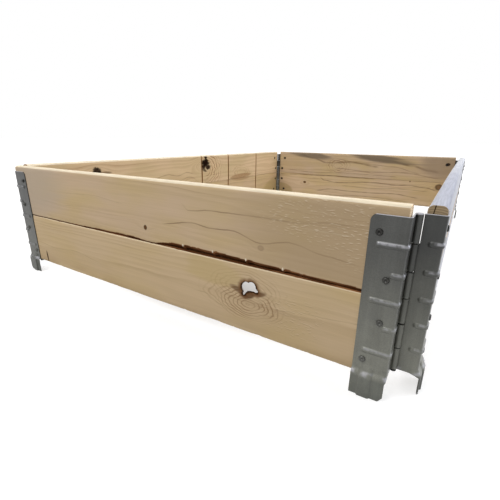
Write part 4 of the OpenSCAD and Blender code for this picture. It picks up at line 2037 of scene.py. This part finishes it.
def front_boards() -> list[Board]:
    """Lists the two boards of the near side, with the wane, the lost knot and their marks.

    Returns:
        The boards.
    """
    dark = (0.13, 0.066, 0.030)
    splinters = (80.0, 134.0, 188.0, 241.0)
    torn = tuple(
        Stain(x, z, 1.3, 3.0, (0.8, 0.72, 0.58), 0.85, ragged=0.0)
        for x, z in zip(splinters, (7, 7.4, 6.4, 5.2))
    )
    long_line = ((37, 34), (102, 43), (128, 40), (168, 42), (208, 32.5), (249, 40), (294, 32.5), (335, 28))
    high_line = ((78, 69), (94, 60), (136, 64), (214, 65), (254, 64.5), (296, 70), (340, 70))
    upper = WoodFinish(
        band=0.10,
        contrast=0.3,
        pith_depth=46,
        pith_height=60,
        slope=-0.03,
        ring_width=6.5,
        seed=1.3,
        wander=22,
        knots=(Knot(3.5, 22.5, 3.2, dark=1.0, swell=1.2, stretch=0.9), Knot(210, 26.5, 3.0, dark=0.22)),
        lines=(
            GrainLine(long_line, width=0.9, share=0.65),
            GrainLine(high_line, width=0.9, share=0.55),
            GrainLine(((238, 63), (266, 59.7), (330, 59)), width=0.6, share=0.5, is_pale=True),
            GrainLine(((210, 72), (280, 66), (335, 67)), width=0.6, share=0.35),
            GrainLine(((-12, 42), (-5, 35), (2, 25)), width=1.2, share=0.35),
            GrainLine(((-330, 60), (-230, 56), (-120, 60), (-40, 54)), share=0.18),
            GrainLine(((-300, 36), (-220, 33), (-150, 37)), share=0.22),
        ),
        patches=(Patch(290, 72, 95, 34, 0.36), Patch(330, 45, 50, 30, 0.25)),
        knot_colour=(0.10, 0.045, 0.018),
        # Painted light: the end faces are lightened and tinted blue as if daylight falls on them.
        end_tone=(2.2, 2.8, 3.8),
        crown=2.7,
        stains=(
            Stain(330, 50, 190, 90, (0.39, 0.285, 0.16), 0.6, ragged=0.4, soft=0.95),
            Stain(-345, 60, 170, 80, (0.47, 0.385, 0.30), 0.8, ragged=0.4, soft=0.95),
            *torn,
        ),
    )
    lower = WoodFinish(
        pale=(0.60, 0.455, 0.285),
        warm=(0.58, 0.437, 0.242),
        fresh=(0.74, 0.61, 0.42),
        band=0.10,
        contrast=0.3,
        pith_depth=70,
        pith_height=20,
        slope=0.02,
        ring_width=5.4,
        seed=4.1,
        wander=18,
        knot_colour=(0.10, 0.047, 0.020),
        whorls=(
            Whorl(193, 43, 31, spacing=3.4, stretch=2.0, inner=2.0, share=0.9),
            Whorl(176, 48, 30, spacing=4.0, stretch=2.7, inner=12, share=0.35),
            Whorl(186, 66, 32, spacing=3.8, stretch=2.2, inner=14, share=0.4),
        ),
        lines=(
            GrainLine(((-340, 42), (-270, 38), (-200, 44), (-120, 36)), share=0.25),
            GrainLine(((225, 46), (280, 54), (360, 60)), share=0.22),
            GrainLine(((92, 40), (117, 41.5), (150, 30), (170, 16)), share=0.3),
        ),
        stains=(
            Stain(130, 78, 55, 22, (0.53, 0.40, 0.185), 0.5),
            Stain(178, 60.5, 17, 5.5, dark, 0.75, climb=-4, ragged=0.3, soft=0.95),
            Stain(210, 61.5, 12, 4.5, dark, 0.8, climb=3, ragged=0.3, soft=0.95),
            Stain(193, 56, 12, 6.0, (0.13, 0.07, 0.032), 0.9, climb=3, ragged=0.3, soft=0.7),
            Stain(-306, 13, 2.8, 13, (0.05, 0.025, 0.012), 0.95, climb=-4, ragged=0.2, soft=0.4),
        ),
        patches=(Patch(255, 42, 60, 34, 0.4),),
        lobes=(Lobe(189, 66.5, 7.3), Lobe(197.8, 69, 6.9), Lobe(186, 57, 2.6), Lobe(205.3, 64, 2.4)),
    )
    return [
        Board(Side.FRONT, Row.UPPER, upper, 1, pitch=1.5, wane_line=WANE_LINE, splinters=splinters),
        Board(Side.FRONT, Row.LOWER, lower, 2, pitch=2.0, hole=KNOT_HOLE, lip=0.0),
    ]


def back_boards() -> list[Board]:
    """Lists the two boards of the far side.

    Returns:
        The boards.
    """
    grey, brown = (0.20, 0.155, 0.105), (0.33, 0.235, 0.095)
    upper = WoodFinish(
        pith_depth=-36,
        seed=11.9,
        ring_width=6.0,
        # A darker crown colour and a narrower band: a weaker painted highlight on this top edge.
        fresh=(0.52, 0.42, 0.31),
        crown=2.0,
        knot_colour=(0.04, 0.024, 0.014),
        knots=(Knot(-349, 70, 4.6, dark=1.0),),
        stains=(
            Stain(215, 86, 130, 18, grey, 0.85, climb=12, ragged=0.9),
            Stain(-100, 82, 150, 18, grey, 0.9, climb=15, ragged=0.9),
            Stain(-345, 62, 110, 60, (0.33, 0.25, 0.175), 0.7, ragged=0.5),
        ),
        whorls=(Whorl(80, 46, 42, spacing=8.0, stretch=1.5, inner=6, share=0.85),),
        lines=(
            GrainLine(((-340, 14), (-200, 30), (-60, 26), (90, 34)), width=2.0, share=0.5),
            GrainLine(((-180, 12), (40, 15), (200, 10), (330, 16)), width=2.0, share=0.45),
            GrainLine(((-100, 48), (20, 62), (132, 56), (201, 74), (275, 93)), width=4.0, share=0.6),
            GrainLine(
                ((-330, 38), (-291, 43), (-223, 59), (-137, 74), (-77, 78), (15, 96)),
                width=4.5,
                share=0.7,
            ),
            GrainLine(((-260, 30), (-150, 52), (-20, 60), (90, 74)), width=2.0, share=0.4),
        ),
    )
    lower = WoodFinish(
        pale=(0.62, 0.465, 0.305),
        warm=(0.60, 0.45, 0.25),
        pith_depth=-50,
        seed=14.2,
        ring_width=6.5,
        knot_colour=(0.13, 0.065, 0.027),
        knots=(Knot(-332, 80, 9, dark=0.85), Knot(235, 59, 4.4, dark=1.0), Knot(-225, 95, 2.2)),
        whorls=(Whorl(-332, 80, 26, spacing=3.6, stretch=1.2, inner=9, share=0.4),),
        lines=(
            GrainLine(
                ((-90, 96), (20, 95), (120, 96), (176, 94), (253, 94), (374, 90)),
                width=2.0,
                share=0.7,
            ),
            GrainLine(
                ((-330, 66), (-286, 74), (-220, 79), (-170, 75.5), (-89, 80), (86, 69), (138, 75), (166, 90)),
                width=2.2,
                share=0.65,
            ),
            GrainLine(
                ((-270, 30), (-175, 39.5), (-66, 35), (15, 34), (102, 37), (180, 25)),
                width=2.2,
                share=0.6,
            ),
            GrainLine(((-300, 60), (-200, 62), (-60, 54), (60, 57)), width=1.8, share=0.4),
            GrainLine(((-240, 12), (-60, 18), (120, 10)), width=1.8, share=0.45),
        ),
        stains=(Stain(376, 6, 82, 46, brown, 0.6, soft=0.3, ragged=0.5),),
    )
    return [
        Board(Side.BACK, row, finish, seed, joint_radius=0.4)
        for row, finish, seed in ((Row.UPPER, upper, 5), (Row.LOWER, lower, 6))
    ]


def long_boards() -> list[Board]:
    """Lists the four boards of the long sides, with the divider grooves.

    Returns:
        The boards.
    """
    reddish, dark = (0.33, 0.175, 0.075), (0.03, 0.014, 0.008)
    right_upper = WoodFinish(
        pith_depth=30,
        pith_height=60,
        seed=7.7,
        # A bluish-white crown colour: a painted reflection of daylight on the top edge.
        fresh=(0.45, 0.465, 0.53),
        crown=7.5,
        fuzz_share=1.0,
        end_tone=(0.9, 1.1, 1.35),
    )
    right_lower = WoodFinish(pith_depth=-40, seed=9.2, fuzz_share=1.0)
    left_upper = WoodFinish(
        pale=(0.675, 0.495, 0.293),
        warm=(0.60, 0.45, 0.25),
        late=(0.30, 0.15, 0.06),
        contrast=0.28,
        shine=0.0,
        pith_depth=-40,
        seed=17.8,
        ring_width=6.0,
        knot_colour=(0.02, 0.009, 0.005),
        knots=(
            Knot(-20, 72, 11, dark=1.0, crack=1.0, stretch=1.3, swell=1.3, ragged=1.2),
            Knot(-22, 90, 5, dark=0.97, ragged=0.8),
            Knot(-34, 56, 7, dark=0.97, stretch=1.6, ragged=0.9),
            Knot(-10, 58, 6, dark=0.97, ragged=0.9),
            Knot(410, 72, 7, dark=0.93, crack=0.9, ragged=1.1),
        ),
        whorls=(
            Whorl(-12, 48, 95, spacing=10.0, stretch=1.35, inner=22, share=0.95, half=-1),
            Whorl(-250, 20, 45, spacing=9.0, stretch=2.0, inner=10, share=0.35),
            Whorl(60, -10, 40, spacing=9.0, stretch=1.4, inner=10, share=0.7),
        ),
        lines=(
            GrainLine(
                ((40, 38), (80, 45), (120, 37), (165, 44), (230, 35), (300, 40)),
                width=1.8,
                share=0.4,
            ),
            GrainLine(((30, 22), (70, 29), (115, 21), (170, 28), (240, 20)), width=1.8, share=0.4),
        ),
        stains=(
            Stain(390, 66, 26, 5, (0.10, 0.05, 0.025), 0.6, ragged=0.8),
            Stain(-250, 8, 85, 11, reddish, 0.6, climb=-3, ragged=0.6, soft=0.4),
            Stain(-14, 46, 16, 7, dark, 0.8, climb=5, ragged=0.6),
        ),
    )
    left_lower = WoodFinish(
        pale=(0.62, 0.445, 0.265),
        warm=(0.59, 0.43, 0.225),
        pith_depth=-60,
        seed=20.4,
        ring_width=6.0,
        stains=(
            Stain(-571, 6, 150, 74, (0.43, 0.315, 0.125), 0.6, soft=0.3, ragged=0.5),
            Stain(-250, 96, 80, 9, reddish, 0.5, ragged=0.6),
        ),
    )
    grooves = (0.0, 160.0, 370.0)
    mirrored = tuple(-place for place in grooves)
    return [
        Board(Side.RIGHT, Row.UPPER, right_upper, 3, grooves=grooves, worn_end=2.0),
        Board(Side.RIGHT, Row.LOWER, right_lower, 4, grooves=grooves),
        Board(Side.LEFT, Row.UPPER, left_upper, 7, grooves=mirrored, joint_radius=0.4),
        Board(Side.LEFT, Row.LOWER, left_lower, 8, grooves=mirrored, joint_radius=0.4),
    ]


LEAVES = (
    (Side.FRONT, End.RIGHT, "front_side_right"),
    (Side.FRONT, End.LEFT, "front_side_left"),
    (Side.RIGHT, End.LEFT, "right_side_front"),
    (Side.RIGHT, End.RIGHT, "right_side_back"),
    (Side.BACK, End.LEFT, "back_side_right"),
    (Side.BACK, End.RIGHT, "back_side_left"),
    (Side.LEFT, End.RIGHT, "left_side_front"),
    (Side.LEFT, End.LEFT, "left_side_back"),
)
PINS = ("front_right_pin", "front_left_pin", "back_right_pin", "back_left_pin")
STEEL_FINISHES = {
    "zinc_sheet_short": SteelFinish(high=(0.058, 0.059, 0.055)),
    # The long sides' leaves get a much darker foot: painted shade low by the floor.
    "zinc_sheet_long": SteelFinish(foot=(0.06, 0.062, 0.053), high=(0.032, 0.033, 0.031)),
    "zinc_sheet_dull": SteelFinish(
        foot=(0.075, 0.078, 0.066),
        low=(0.085, 0.086, 0.074),
        high=(0.034, 0.035, 0.033),
    ),
    "zinc_rivet": SteelFinish(
        foot=(0.105, 0.105, 0.095),
        low=(0.105, 0.105, 0.095),
        high=(0.018, 0.017, 0.015),
        # Painted shade: the tails inside the collar are nearly black, as in the shadow of their hollow ends.
        inner=(0.012, 0.010, 0.008),
        wear=0.0,
        shine=0.3,
        rough=0.22,
    ),
    # Painted shade: the pins are nearly black, as they show only in the shaded gaps between knuckles and at
    # their ends.
    "zinc_pin": SteelFinish(low=(0.02, 0.02, 0.02), high=(0.03, 0.03, 0.03), rough=0.4),
}
DULL_LEAF = "front_side_left"


def sheet_of(side: Side, name: str) -> str:
    """Names the finish of a leaf.

    Args:
        side: The leaf's side.
        name: The leaf's name.

    Returns:
        The name of its material.
    """
    if name == DULL_LEAF:
        return "zinc_sheet_dull"
    return "zinc_sheet_short" if side.is_short else "zinc_sheet_long"


def main() -> None:
    """Builds the collar's pieces in order and reports each."""
    logging.basicConfig(level=logging.INFO, format="%(name)s: %(message)s")
    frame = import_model()
    Studio().build()
    groups = {
        "figure": make_figure_group(),
        "knot": make_knot_group(),
        "line": make_line_group(),
        "whorl": make_whorl_group(),
        "tarnish": make_tarnish_group(),
    }
    steel = {name: finish.material(name, groups) for name, finish in STEEL_FINISHES.items()}
    plank_tree, rivet_tree = make_plank_tree(), make_rivet_tree()
    for board in front_boards() + back_boards() + long_boards():
        board.build(plank_tree, groups)
    for side, end, name in LEAVES:
        HingeLeaf(side, end, f"{name}_leaf").build(steel[sheet_of(side, name)])
    for side in Side:
        nodes = tuple(f"{name}_rivets" for owner, _, name in LEAVES if owner is side)
        SideRivets(side, nodes).build(rivet_tree, steel["zinc_rivet"])
    for name in PINS:
        pin = frame["nodes"][name]
        pin.data.materials.clear()
        pin.data.materials.append(steel["zinc_pin"])
        log.info("%s: packed shape kept", name)


if __name__ == "__main__":
    main()
